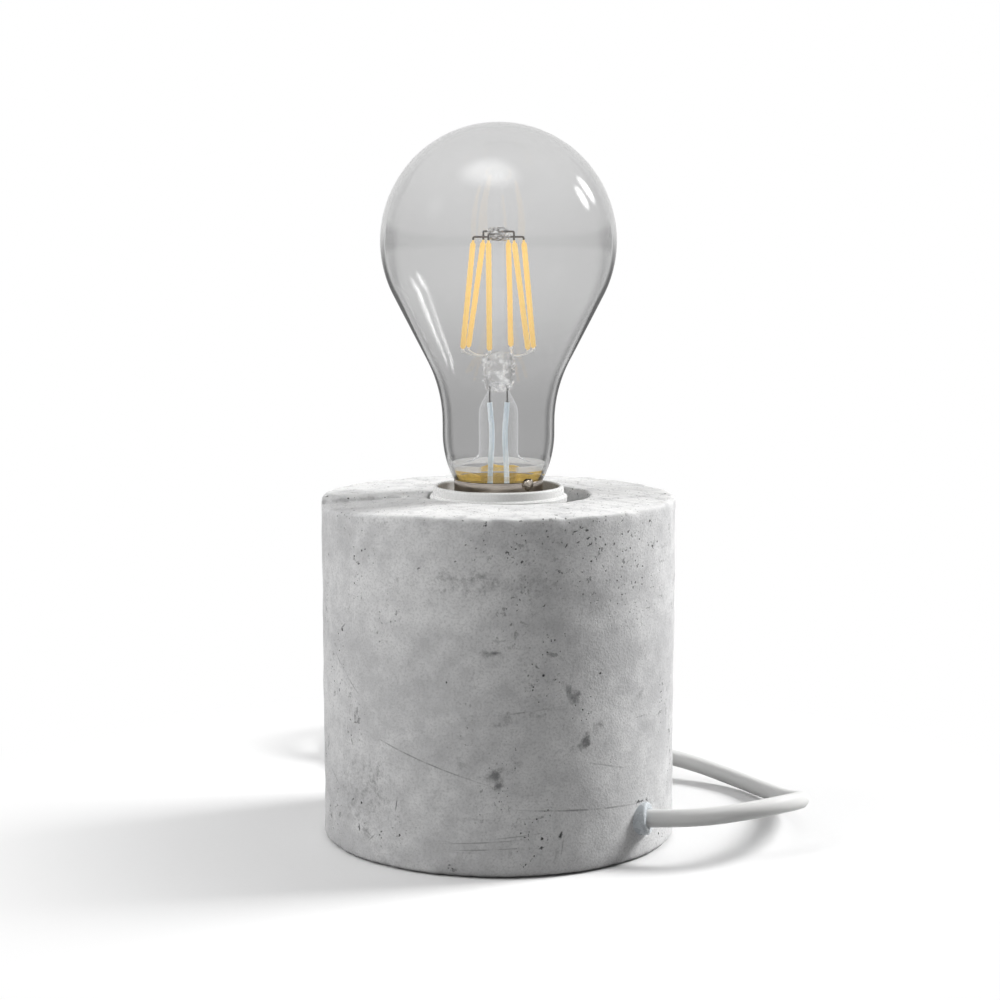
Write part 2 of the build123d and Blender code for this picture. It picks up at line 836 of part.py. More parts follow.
def stem_at(height):
    return cap_top + height


def bulb_stem():
    """Flared tube, pinch, rod and hub in one piece of glass, cleared for the wires that it holds."""
    outer = stem_diameter / 2
    inner = outer - stem_wall
    flare_low = stem_at(stem_flare_height)
    flare_high = flare_low + stem_flare_rise
    dome = stem_at(stem_top)
    rim = glass_bore_at(flare_low) - slide_clearance
    flare_out = ThreePointArc((rim, flare_low + stem_wall), flare_middle(rim, outer, flare_low + stem_wall,
                                                                         flare_high),
                              (outer, flare_high))
    flare_in = ThreePointArc((inner, flare_high), flare_middle(rim - stem_wall, inner, flare_low, flare_high),
                             (rim - stem_wall, flare_low))
    edges = [flare_out, Line((outer, flare_high), (outer, dome - outer / 2)),
             Line((outer, dome - outer / 2), (outer / 2, dome)), Line((outer / 2, dome), (0, dome)),
             Line((0, dome), (0, dome - stem_wall)), Line((0, dome - stem_wall), (inner / 2,
                                                                                  dome - stem_wall)),
             Line((inner / 2, dome - stem_wall), (inner, dome - stem_wall - inner / 2)),
             Line((inner, dome - stem_wall - inner / 2), (inner, flare_high)), flare_in,
             Line((rim - stem_wall, flare_low), (rim, flare_low)),
             Line((rim, flare_low), (rim, flare_low + stem_wall))]
    flared = revolve(Plane.XZ * make_face(edges), Axis.Z)
    pinch_low = dome - stem_wall
    pinch = block(pinch_width, pinch_thickness, pinch_low, pinch_low + pinch_height)
    pinch = fillet(pinch.edges().filter_by(Axis.Z), pinch_round)
    hub_mid = stem_at(hub_centre)
    rod = disc(rod_diameter / 2, pinch_low + pinch_height, hub_mid)
    hub = Pos(0, 0, hub_mid) * disc(hub_diameter / 2, -hub_height / 2, hub_height / 2)
    hub = fillet(hub.edges().filter_by(GeomType.CIRCLE), hub_round)
    held = [bridge_wire(k, slide_clearance) for k in range(filament_count // 2)]
    held += [collector_wire(side, slide_clearance) for side in (-1, 1)]
    held += [lead_wire(side, slide_clearance) for side in (-1, 1)]
    return flared + pinch + rod + hub - held


def flare_middle(wide, narrow, low, high):
    """Point that bows a flare from wide at its foot to narrow at its top."""
    return (narrow + (wide - narrow) * flare_bow_in, low + (high - low) * flare_bow_up)


def glass_bore_at(height):
    """Inner radius of the glass shoulder at a height."""
    neck = neck_diameter / 2 - glass_wall
    shoulder = shoulder_radius - glass_wall
    drop = cap_top + neck_height - height
    return neck - shoulder + math.sqrt(shoulder ** 2 - drop ** 2)


# Filaments and their wires


def on_ring(radius, angle, height):
    return Vector(radius, 0, stem_at(height)).rotate(Axis.Z, angle)


def filament(k):
    """One filament: a round bar that tapers at both ends, between the bottom and top rings."""
    foot = on_ring(filament_bottom_radius, filament_bottom_angles[k], filament_bottom)
    head = on_ring(filament_top_radius, filament_top_angles[k], filament_top)
    span = (head - foot).length
    full = filament_diameter / 2
    thin = filament_wire_diameter / 2
    bar = turned((0, 0), (thin, 0), (full, filament_tip), (full, span - filament_tip), (thin, span), (0,
                                                                                                      span))
    return Plane(origin=foot, z_dir=head - foot) * bar


def bridge_wire(k, swell=0.0):
    """Wire through the hub that joins two filaments across from each other."""
    level = hub_centre + bridge_step * (k - 1)
    one = filament_top_angles[k]
    other = filament_top_angles[k + filament_count // 2]
    lift = filament_top + slide_clearance
    points = [on_ring(filament_top_radius, one, lift), on_ring(filament_top_radius, one, level),
              on_ring(filament_top_radius, other, level), on_ring(filament_top_radius, other, lift)]
    return tube([tuple(p) for p in points], filament_wire_diameter + 2 * swell, radii=[bridge_bend,
                                                                                       bridge_bend])


def collector_wire(side, swell=0.0):
    """Bottom wire of three filaments: an arc under their feet and a spoke into the pinch."""
    held = [a for a in filament_bottom_angles if math.cos(math.radians(a)) * side > 0]
    held = sorted((a + 180) % 360 - 180 if side > 0 else a for a in held)
    drop = filament_bottom - slide_clearance - collector_wire_diameter / 2
    thickness = collector_wire_diameter + 2 * swell
    first, middle, last = (on_ring(filament_bottom_radius, a, drop) for a in held)
    arc = ThreePointArc(first, middle, last)
    bow = sweep(Plane(origin=arc @ 0, z_dir=arc % 0) * Circle(thickness / 2), path=arc)
    hold = on_ring(pinch_width / 2 - collector_hold, 0 if side > 0 else 180, drop)
    spoke = tube([tuple(middle), tuple(hold)], thickness)
    return bow + spoke


def lead_points(side):
    """Route of one lead, from inside the pinch down through the flared tube to the board."""
    dome = stem_at(stem_top)
    return [(side * lead_spread, 0, dome + lead_into_pinch),
            (side * (lead_spread + lead_bow / 4), -lead_bow / 2, dome - lead_straight),
            (side * (lead_spread - lead_bow), -lead_bow, dome - lead_bow_depth),
            (side * lead_spread, lead_bow / 3, stem_at(lead_foot)), (side * lead_spread, lead_bow / 2,
                                                                     board_top)]


def lead_wire(side, swell=0.0):
    return tube(lead_points(side), lead_wire_diameter + 2 * swell)


def lead_sleeve(side):
    first, second, third, fourth, last = (Vector(*point) for point in lead_points(side))
    start = second + (third - second).normalized() * lead_sleeve_below
    end = Vector(last.X, last.Y, board_top + lead_sleeve_above_board)
    outside = tube([tuple(point) for point in (start, third, fourth, end)], lead_sleeve_diameter)
    inside = tube(lead_points(side), lead_wire_diameter + 2 * slide_clearance)
    return outside - inside


# In-line switch


switch_place = Pos(switch_x, switch_y, 0)


def switch_plan(inset):
    rounding = max(switch_end_round - inset, 0.5)
    return RectangleRounded(switch_length - 2 * inset, switch_width - 2 * inset, rounding)


def switch_cord_holes():
    reach = switch_length
    return Pos(-reach / 2, 0, switch_lower_height) * Rot(0, 90, 0) * extrude(
        Circle(cord_diameter / 2 + slide_clearance), reach)


def switch_posts(radius, bottom, top):
    places = ((-switch_screw_x, -switch_screw_y), (switch_screw_x, -switch_screw_y))
    return [Pos(x, y) * disc(radius, bottom, top) for x, y in places]


def switch_lower():
    shell = extrude(switch_plan(0), switch_lower_height)
    shell = fillet(shell.edges().group_by(Axis.Z)[0], switch_edge_round)
    shell -= Pos(0, 0, switch_wall) * extrude(switch_plan(switch_wall), switch_lower_height)
    shell += switch_posts(switch_post_diameter / 2, switch_wall / 2, switch_lower_height)
    boss_top = switch_wall + contact_boss_height
    shell += [block(contact_length, contact_boss_width, switch_wall / 2, boss_top,
                    side * contact_x) for side in (-1, 1)]
    head_depth = switch_wall + switch_head_seat
    shell -= switch_posts(switch_screw_head / 2 + slide_clearance, 0, head_depth)
    shell -= switch_posts(switch_screw_diameter / 2 + slide_clearance, 0, switch_lower_height)
    return switch_place * (shell - switch_cord_holes())


def rocker_window():
    """Half length of the window that the rocker needs at the ends of its travel."""
    tilt = math.radians(rocker_tilt)
    top = rocker_pivot_depth + rocker_proud
    return rocker_length / 2 * math.cos(tilt) + top * math.sin(tilt) + running_clearance


def switch_upper():
    cavity_top = switch_height - switch_wall
    shell = Pos(0, 0, switch_lower_height) * extrude(switch_plan(0), switch_upper_height)
    shell = fillet(shell.edges().group_by(Axis.Z)[-1], switch_edge_round)
    shell -= Pos(0, 0, switch_lower_height) * extrude(switch_plan(switch_wall),
                                                      switch_upper_height - switch_wall)
    shell += switch_posts(switch_post_diameter / 2, switch_lower_height, cavity_top + switch_wall / 2)
    cheek_inside = rocker_width / 2 + running_clearance
    cheek_wall = switch_width / 2 - switch_wall / 2 - cheek_inside
    cheek_low = rocker_pivot - trunnion_diameter
    for side in (-1, 1):
        shell += block(cheek_length, cheek_wall, cheek_low, cavity_top + switch_wall / 2,
                       0, side * (cheek_inside + cheek_wall / 2))
    shell -= block(2 * rocker_window(), 2 * cheek_inside, cheek_low, switch_height + overrun)
    bearing = rocker_width / 2 + trunnion_length + running_clearance
    shell -= Pos(0, bearing, rocker_pivot) * Rot(90, 0, 0) * extrude(
        Circle(trunnion_diameter / 2 + trunnion_clearance), 2 * bearing)
    shell -= switch_posts(switch_screw_diameter / 2 + slide_clearance, switch_lower_height, cavity_top)
    return switch_place * (shell - switch_cord_holes())


def rocker_frame():
    """The rocker's place: its pivot, tipped to the end of travel where it rests."""
    return switch_place * Pos(0, 0, rocker_pivot) * Rot(0, rocker_tilt, 0)


def switch_rocker():
    half = rocker_length / 2
    high = rocker_pivot_depth + rocker_proud
    low_half = half - rocker_taper
    keel = rocker_keel / 2
    outline = Polyline((-half, high), (0, high - rocker_dip), (half, high), (low_half, -rocker_waist),
                       (keel, -rocker_skirt), (-keel, -rocker_skirt), (-low_half, -rocker_waist), close=True)
    body = Plane.XZ * extrude(make_face(outline), rocker_width / 2, both=True)
    pin_half = rocker_width / 2 + trunnion_length
    pin = Pos(0, pin_half, 0) * Rot(90, 0, 0) * extrude(Circle(trunnion_diameter / 2), 2 * pin_half)
    return rocker_frame() * (body + pin)


def rocker_blade():
    return rocker_frame() * block(blade_length, blade_width, -rocker_skirt - blade_thickness, -rocker_skirt)


def switch_contacts():
    foot = switch_wall + contact_boss_height
    strips = []
    for side in (-1, 1):
        flat = block(contact_length, contact_width, foot, foot + contact_thickness, side * contact_x)
        upright = block(contact_thickness, contact_width, foot, foot + contact_height,
                        side * contact_upright_x)
        strips.append(switch_place * (flat + upright))
    return strips


def switch_screws():
    head_depth = switch_wall + switch_head_seat
    head_low = head_depth - switch_screw_head_height
    tops = switch_posts(switch_screw_diameter / 2, head_low, switch_height - 2 * switch_wall)
    heads = switch_posts(switch_screw_head / 2, head_low, head_depth)
    return [switch_place * (shank + head) for shank, head in zip(tops, heads)]


def switch_cores():
    """The core that runs through, and the two ends of the switched one on their contacts."""
    end = switch_cord_end
    mid = switch_lower_height
    low = switch_wall + core_diameter / 2 + slide_clearance
    leave = end - core_leave
    turn = end - core_through_run
    through = [(end, core_split, mid), (leave, core_split, mid), (turn, core_through_y, low),
               (-turn, core_through_y, low), (-leave, core_split, mid), (-end, core_split, mid)]
    rest = switch_wall + contact_boss_height + contact_thickness + core_diameter / 2
    bends = [core_small_bend, core_wide_bend, core_wide_bend, core_small_bend]
    parts = [tube(through, core_diameter, radii=bends)]
    for side in (-1, 1):
        switched = [(side * end, -core_split, mid), (side * leave, -core_split, mid),
                    (side * core_landing_x, -core_split, rest), (side * core_end_x, -core_split, rest)]
        parts.append(tube(switched, core_diameter, radii=[core_small_bend, core_small_bend]))
    return [switch_place * part for part in parts]


# Free cord


lead_route = [
    tuple(outlet_at(sleeve_proud)), tuple(outlet_at(sleeve_proud + lead_first_run)), (70.6, -35.9, 15.0),
    (83.0, -28.0, 15.2), (90.2, -15.0, 13.0), (91.6, 0.4, 9.2), (90.0, 17.8, 4.8), (84.6, 36.2, 2.9), (75.4,
                                                                                                       51.6,
                                                                                                       3.4),
    (63.2, 61.6, 5.8), (switch_x + switch_length / 2 + lead_last_straight, switch_y, switch_lower_height),
    (switch_x + switch_cord_end, switch_y, switch_lower_height),
]

run_route = [
    (switch_x - switch_cord_end, switch_y, switch_lower_height),
    (switch_x - switch_length / 2 - run_first_straight, switch_y, switch_lower_height), (-38.6, 70.2, 6.2),
             (-48.8, 79.8, 4.5),
    (-53.9, 92.5, 3.6), (coil_x - coil_outer_radius, 105.2, coil_low),
    (coil_x - coil_outer_radius, coil_y - cord_diameter, coil_low),
]

tail_end_radius = coil_inner_radius + layer_pitch * coil_turns_out
tail_route = [
    (coil_x - cord_diameter, coil_y - tail_end_radius, coil_high), (-33.8, coil_y - tail_end_radius,
                                                                    coil_high),
    (-47.3, 90.2, 10.6), (-55.1, 103.7, 13.0), (-55.1, 119.3, 15.4), (-47.3, 132.8, 17.6), (-33.8, 140.6,
                                                                                            18.6),
    (-18.2, 140.6, 18.6),
]
plug_start = Vector(*tail_route[-1])


def coil_point(turns):
    """Centre line of the coil: in along the lower layer, a climbing half turn, out along the upper."""
    sway = layer_pitch / (2 * math.pi)
    climb = min(max((turns - coil_turns_in) / coil_climb_turns, 0.0), 1.0)
    radius = coil_inner_radius - sway * math.sin(math.pi * climb)
    radius += layer_pitch * max(coil_turns_in - turns, 0.0)
    radius += layer_pitch * max(turns - coil_turns_in - coil_climb_turns, 0.0)
    height = coil_low + layer_pitch * (climb - math.sin(2 * math.pi * climb) / (2 * math.pi))
    angle = math.pi - 2 * math.pi * turns
    return Vector(coil_x + radius * math.cos(angle), coil_y + radius * math.sin(angle), height)


def coil_heading(turns):
    """Unit tangent of the coil's centre line; square to the run and the tail at its two ends."""
    if turns <= 0:
        return Vector(0, 1, 0)
    if turns >= coil_turns:
        return Vector(-1, 0, 0)
    step = 1e-4
    return (coil_point(turns + step) - coil_point(turns - step)).normalized()


def biarc(start, start_heading, end, end_heading):
    """Two tangent arcs between two points with given headings."""
    chord = end - start
    total = start_heading + end_heading
    bend = 2 * (1 - start_heading.dot(end_heading))
    along = chord.dot(total)
    reach = (math.sqrt(along ** 2 + bend * chord.dot(chord)) - along) / bend
    joint = (start + end + (start_heading - end_heading) * reach) * 0.5
    first = Edge.make_tangent_arc(start, start_heading, joint)
    return [first, Edge.make_tangent_arc(joint, first % 1, end)]


def coil_gap_to_itself():
    """Least gap between turns, on points along the centre line."""
    steps_per_turn = 40
    samples = [coil_point(k / steps_per_turn) for k in range(int(coil_turns * steps_per_turn) + 1)]
    least = min((samples[i] - samples[j]).length for i in range(len(samples))
                for j in range(i + steps_per_turn // 2, len(samples)))
    return least - cord_diameter


def cord_coil():
    quarters = int(round(coil_turns * 4))
    start = coil_point(0)
    end = coil_point(coil_turns)
    edges = [Edge.make_line(start - coil_heading(0) * cord_diameter, start)]
    for k in range(quarters):
        edges += biarc(coil_point(k / 4), coil_heading(k / 4), coil_point((k + 1) / 4),
                       coil_heading((k + 1) / 4))
    edges.append(Edge.make_line(end, end + coil_heading(coil_turns) * cord_diameter))
    path = Wire(edges)
    section = Plane(origin=path @ 0, z_dir=path % 0) * Circle(cord_diameter / 2)
    solid = sweep(section, path=path)
    ratio = solid.volume / (math.pi * (cord_diameter / 2) ** 2 * path.length)
    gap = coil_gap_to_itself()
    print(f"cord_coil: length {path.length:.1f}, gap to itself {gap:.2f}, volume ratio {ratio:.4f}")
    return solid, path.length


def coil_tie():
    """Flat strap round the bundle of turns, at one place on the coil."""
    half = cord_diameter / 2 + slide_clearance + tie_slack
    inner = coil_inner_radius - layer_pitch / (2 * math.pi) - half
    outer = coil_outer_radius + half
    top = coil_high + cord_diameter / 2 + slide_clearance + tie_thickness
    strap = block(outer - inner + 2 * tie_thickness, tie_width, 0, top, (outer + inner) / 2)
    opening = block(outer - inner, tie_width, tie_thickness, top - tie_thickness, (outer + inner) / 2)
    return Pos(coil_x, coil_y) * Rot(0, 0, tie_angle) * (strap - opening)


# Plug, along +X from the end of the cord's tail


plug_place = Pos(*plug_start)


def pin_bar(diameter, start, end, side):
    return Pos(start, side * pin_spacing / 2, 0) * Rot(0, 90, 0) * extrude(Circle(diameter / 2), end - start)


plug_face = plug_relief_length + plug_length


def plug_body():
    taper = Rot(0, 90, 0) * turned((0, 0), (plug_relief_tip_diameter / 2, 0),
                                   (plug_relief_root_diameter / 2, plug_relief_length),
                                   (plug_relief_root_diameter / 2, plug_relief_length + plug_relief_root),
                                   (0, plug_relief_length + plug_relief_root))
    plan = Polyline((plug_relief_length, -plug_back_width / 2), (plug_relief_length + plug_length / 2,
                                                                 -plug_width / 2),
                    (plug_face, -plug_width / 2), (plug_face, plug_width / 2),
                    (plug_relief_length + plug_length / 2, plug_width / 2),
                    (plug_relief_length, plug_back_width / 2), close=True)
    grip = extrude(make_face(plan), plug_thickness / 2, both=True)
    grip = fillet(grip.edges().filter_by(lambda e: abs((e % 0).Z) < 0.5), plug_edge_round)
    sockets = [pin_bar(pin_diameter + 2 * slide_clearance, plug_face - pin_root, plug_face,
                       side) for side in (-1, 1)]
    return plug_place * (taper + grip - sockets)


def plug_pins():
    pins = []
    for side in (-1, 1):
        root = pin_bar(pin_diameter, plug_face - pin_root, plug_face, side)
        neck = pin_bar(pin_neck_diameter, plug_face, plug_face + pin_sleeve_length, side)
        tip = pin_bar(pin_diameter, plug_face + pin_sleeve_length, plug_face + pin_length, side)
        tip = fillet(tip.edges().group_by(Axis.X)[-1], pin_tip_round)
        pins.append(plug_place * (root + neck + tip))
    return pins


def pin_sleeves():
    inner = pin_neck_diameter / 2 + slide_clearance / 2
    sleeve = ring(pin_sleeve_diameter / 2, inner, plug_face, plug_face + pin_sleeve_length)
    return [plug_place * Pos(0, side * pin_spacing / 2, 0) * Rot(0, 90, 0) * sleeve for side in (-1, 1)]


def all_parts():
    """Every node of the lamp by name."""
    coil, coil_length = cord_coil()
    lead = tube(lead_route, cord_diameter)
    run = tube(run_route, cord_diameter)
    tail = tube(tail_route, cord_diameter)
    total = coil_length + report_cord("cord_lead", lead_route, lead)
    total += report_cord("cord_run", run_route, run) + report_cord("cord_tail", tail_route, tail)
    print(f"cord with the switch: {total + 2 * switch_cord_end:.0f} of {cord_length_nominal:.0f} nominal")
    parts = {
        "concrete_body": concrete_body(), "base_plate": base_plate(), "plate_screws": plate_screws(),
        "screw_anchors": screw_anchors(), "rubber_feet": rubber_feet(), "cord_sleeve": cord_sleeve(),
        "cord_inner": cord_inner(), "clamp_lower": clamp_lower(), "clamp_upper": clamp_upper(),
        "clamp_screws": clamp_screws(), "core_brown": core(1), "core_blue": core(-1),
        "threaded_tube": threaded_tube(), "tube_washer": tube_washer(), "tube_nut": tube_nut(),
        "holder_cap": holder_cap(), "grub_screw": grub_screw(), "holder_skirt": holder_skirt(),
        "contact_carrier": contact_carrier(), "screw_shell": screw_shell(),
             "centre_contact": centre_contact(),
        "terminals": terminals(), "terminal_screws": terminal_screws(),
        "bulb_glass": bulb_glass(), "bulb_stem": bulb_stem(),
        "lead_wires": [lead_wire(side) for side in (-1, 1)],
        "lead_sleeves": [lead_sleeve(side) for side in (-1, 1)],
        "filament_collectors": [collector_wire(side) for side in (-1, 1)],
        "filament_bridges": [bridge_wire(k) for k in range(filament_count // 2)],
        "bulb_cap": bulb_cap(), "cap_insulator": cap_insulator(), "cap_contact": cap_contact(),
        "cap_cement": cap_cement(), "cap_solder": cap_solder(), "driver_board": driver_board(),
        "driver_components": driver_components(), "tip_lead": tip_lead(),
        "switch_lower": switch_lower(), "switch_upper": switch_upper(), "switch_rocker": switch_rocker(),
        "rocker_blade": rocker_blade(), "switch_contacts": switch_contacts(),
             "switch_screws": switch_screws(),
        "switch_cores": switch_cores(), "cord_lead": lead, "cord_run": run, "cord_coil": coil,
             "cord_tail": tail,
        "coil_tie": coil_tie(), "plug_body": plug_body(), "plug_pins": plug_pins(),
             "pin_sleeves": pin_sleeves(),
    }
    for k in range(filament_count):
        parts[f"led_filament_{k + 1}"] = filament(k)
    return parts


def main():
    os.makedirs("parts", exist_ok=True)
    for name, shape in all_parts().items():
        if isinstance(shape, list):
            shape = Compound(children=shape)
        export_step(shape, f"parts/{name}.step")


main()
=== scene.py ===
"""Looks of the concrete table lamp: surfaces worked out with numpy on the CAD frame, with node materials."""
import math

import bpy
import numpy as np
from bpy.props import FloatProperty, FloatVectorProperty, IntProperty, PointerProperty
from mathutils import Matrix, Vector


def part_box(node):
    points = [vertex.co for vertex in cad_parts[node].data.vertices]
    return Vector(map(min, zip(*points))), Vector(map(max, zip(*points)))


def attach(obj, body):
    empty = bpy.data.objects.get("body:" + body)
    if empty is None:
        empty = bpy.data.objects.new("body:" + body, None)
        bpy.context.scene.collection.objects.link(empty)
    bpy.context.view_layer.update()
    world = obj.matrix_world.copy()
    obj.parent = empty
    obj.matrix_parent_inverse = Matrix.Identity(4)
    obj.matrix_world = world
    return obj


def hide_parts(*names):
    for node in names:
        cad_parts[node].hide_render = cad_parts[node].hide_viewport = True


bl_info = {
    "name": "Concrete Table Lamp",
    "version": (1, 0, 0),
    "blender": (4, 5, 0),
    "location": "View3D > Sidebar > Lamp",
    "description": "Builds a concrete table lamp with a bar-filament bulb, piece by piece",
    "category": "Add Mesh",
}

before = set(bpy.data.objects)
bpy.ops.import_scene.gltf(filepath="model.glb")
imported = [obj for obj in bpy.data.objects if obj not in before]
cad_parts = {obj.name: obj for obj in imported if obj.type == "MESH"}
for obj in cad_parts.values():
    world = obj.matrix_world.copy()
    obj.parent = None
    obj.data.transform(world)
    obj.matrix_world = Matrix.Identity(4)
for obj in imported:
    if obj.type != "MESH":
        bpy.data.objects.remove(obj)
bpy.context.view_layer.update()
TAU = 2 * math.pi
BLOCK_RADIUS = 0.053
WHITE = (1, 1, 1, 1)


# Property makers

def number(label, text, value, **more):
    """A number with its label, description and default."""
    return FloatProperty(name=label, description=text, default=value, **more)


def length(label, text, value):
    """A length in metres."""
    return number(label, text, value, min=0.0, unit="LENGTH", precision=5)


def colour(label, text, value):
    """A linear colour."""
    return FloatVectorProperty(name=label, description=text, default=value, size=3, min=0.0, max=1.0,
                               subtype="COLOR")


def count(label, text, value):
    """A whole number."""
    return IntProperty(name=label, description=text, default=value, min=3)


class BlockSettings(bpy.types.PropertyGroup):
    """Sizes and colours of the cast block"""
    radius: length("Radius", "Outer radius of the block", BLOCK_RADIUS)
    foot: length("Foot", "Height of the block's lower face over the table", 0.0005)
    top: length("Top", "Height of the block's upper face", 0.103)
    edge: length("Edge round", "Rounding of the two outer edges", 0.0012)
    well_radius: length("Well radius", "Radius of the recess for the lampholder", 0.0245)
    well_floor: length("Well floor", "Height of the floor of the recess", 0.048)
    well_x: length("Well offset X", "Sideways offset of the recess", 0.003)
    well_y: length("Well offset Y", "Backward offset of the recess", 0.0012)
    tube_hole: length("Tube hole", "Radius of the hole for the threaded tube", 0.0052)
    chamber_radius: length("Chamber radius", "Radius of the wiring chamber", 0.034)
    chamber_top: length("Chamber top", "Height of the chamber's ceiling", 0.038)
    plate_radius: length("Plate recess radius", "Radius of the recess for the base plate", 0.0427)
    plate_top: length("Plate recess top", "Height of the recess for the base plate", 0.0034)
    columns: count("Columns", "Points round the block", 560)
    dark: colour("Dark grey", "Darker tone of the concrete", (0.55, 0.55, 0.555))
    light: colour("Light grey", "Lighter tone of the concrete", (0.79, 0.79, 0.79))
    # The stain tone also colours painted shade on the block: a large blot at the lower left and the dark in scuffed
    # dents.
    stain_and_shade: colour("Stain", "Tone of smudges and hairlines", (0.15, 0.15, 0.155))


class HolderSettings(bpy.types.PropertyGroup):
    """Sizes and colour of the lampholder's ring"""
    rim: length("Rim", "Height of the ring's rim", 0.1056)
    bore: length("Bore", "Inner radius of the ring", 0.018)
    radius: length("Radius", "Outer radius of the ring", 0.01965)
    ridge: length("Ridge", "Outer radius of the grip ridge", 0.0206)
    drop: length("Ridge drop", "Distance from rim to ridge", 0.0026)
    ridge_height: length("Ridge height", "Height of the ridge", 0.0024)
    white: colour("White", "Colour of the moulded ring", (0.76, 0.76, 0.75))


class BulbSettings(bpy.types.PropertyGroup):
    """Sizes and colours of the bulb"""
    globe_radius: length("Globe radius", "Outer radius of the globe", 0.0349)
    globe_centre: length("Globe centre", "Height of the globe's centre", 0.178)
    neck: length("Neck radius", "Outer radius of the neck", 0.0167)
    neck_bottom: length("Neck bottom", "Height where the neck starts to draw in", 0.1215)
    flare: length("Flare radius", "Radius of the hollow curve from neck to cone", 0.040)
    shoulder: length("Shoulder radius", "Radius of the curve that draws the neck in", 0.031)
    foot: length("Foot", "Height of the glass above the cap", 0.1079)
    tail: length("Tail radius", "Radius of the glass inside the cap", 0.0124)
    tail_bottom: length("Tail bottom", "Lower end of the glass inside the cap", 0.1023)
    wall: length("Wall", "Thickness of the glass", 0.0012)
    cap_top: length("Cap top", "Upper edge of the screw cap", 0.1078)
    cap_root: length("Thread root", "Radius at the bottom of the rolled thread", 0.012)
    cap_collar: length("Collar radius", "Radius of the plain collar", 0.0133)
    pitch: length("Pitch", "Rise of the thread in one turn", 0.003629)
    filament: length("Filament", "Thickness of a bar filament", 0.00165)
    amber: colour("Filament colour", "Colour of the coated bars", (1.0, 0.64, 0.22))
    tint: colour("Glass tint", "Colour of the grey glass at the crown", (0.99, 0.99, 0.99))
    deep: colour("Deep tint", "Colour of the grey glass at the neck", (0.70, 0.70, 0.70))


class CordSettings(bpy.types.PropertyGroup):
    """Sizes and colours of the cord, its outlet and its tie"""
    diameter: length("Diameter", "Thickness of the cord", 0.0052)
    lead: length("Lead length", "Cord from the outlet to the switch", 0.17)
    spare: length("Spare length", "Cord from the switch to the plug", 1.545)
    sleeve: length("Outlet sleeve", "Outer radius of the outlet sleeve", 0.0048)
    proud: length("Outlet stand-out", "How far the sleeve stands out of the block", 0.0015)
    coil_radius: length("Coil radius", "Inner winding radius of the put-away coil", 0.023475)
    coil_pitch: length("Coil pitch", "Distance between turns", 0.0057)
    coil_points: count("Points per turn", "Spline points in one turn of the coil", 24)
    tie_width: length("Tie width", "Width of the band round the coil", 0.008)
    white: colour("White", "Colour of the cord", (0.75, 0.75, 0.74))
    band: colour("Band", "Colour of the tie", (0.03, 0.03, 0.032))


class FittingSettings(bpy.types.PropertyGroup):
    """Colours of switch, plug, underside and inner pieces"""
    white: colour("Moulded white", "Colour of switch and plug", (0.71, 0.71, 0.70))
    plate: colour("Plate", "Colour of the base plate", (0.045, 0.046, 0.05))
    rubber: colour("Rubber", "Colour of the feet", (0.03, 0.03, 0.03))


class StageSettings(bpy.types.PropertyGroup):
    """Camera and light"""
    lens: number("Lens", "Focal length in millimetres", 80.96, min=10.0)
    back: length("Distance", "Camera distance in front of the lamp", 0.6678)
    height: length("Height", "Camera height", 0.1868)
    tilt: number("Tilt", "Downward tilt of the camera", math.radians(7.31), subtype="ANGLE")
    shift: number("Shift", "Sideways shift of the picture", 0.0015)
    key: number("Key", "Watts of the light at the right, a little behind", 22.3, min=0.0)
    fill: number("Fill", "Watts of the light at the left", 6.0, min=0.0)
    overhead: number("Overhead", "Watts of the light above", 1.5, min=0.0)
    ambient: number("Ambient", "Strength of the even light", 0.16, min=0.0)


# Surfaces

def smooth(x, low, high):
    """Rises evenly from 0 at low to 1 at high, with no kink at either end."""
    t = np.clip((x - low) / (high - low), 0, 1)
    return t * t * (3 - 2 * t)


def between(a, b, share):
    """Goes straight from a to b by a share."""
    return a * (1 - share) + b * share


def swings(columns):
    """Angles once round a circle, evenly spaced."""
    return np.linspace(0, TAU, columns, endpoint=False)


def grid_of(x, y, z):
    """Points from three arrays that are spread over each other's rows and columns."""
    return np.stack(np.broadcast_arrays(x, y, z), -1)


def straight(radius, low, high, rows):
    """Points (r, z) at one radius, from one height to another."""
    return np.stack([np.full(rows, radius), np.linspace(low, high, rows)], -1)


def arc(centre, radius, start, end, steps):
    """Points (r, z) on a circle from one angle to another, in degrees."""
    angle = np.radians(np.linspace(start, end, steps))
    return np.stack([centre[0] + radius * np.cos(angle), centre[1] + radius * np.sin(angle)], -1)


def rounded(corners, radii, steps=6):
    """A closed outline of (r, z) corners, each replaced by an arc that is tangent to both its sides."""
    corners = np.asarray(corners, float)
    outline = []
    for k, radius in enumerate(radii):
        corner = corners[k]
        before = corners[k - 1] - corner
        after = corners[(k + 1) % len(corners)] - corner
        before /= np.linalg.norm(before)
        after /= np.linalg.norm(after)
        half = math.acos(np.clip(before @ after, -1, 1)) / 2
        reach = radius / math.tan(half)
        centre = corner + (before + after) / np.linalg.norm(before + after) * radius / math.sin(half)
        share = np.linspace(0, 1, steps)[:, None]
        spoke = between(corner + before * reach - centre, corner + after * reach - centre, share)
        outline.append(centre + spoke * radius / np.linalg.norm(spoke, axis=1, keepdims=True))
    return np.vstack(outline)


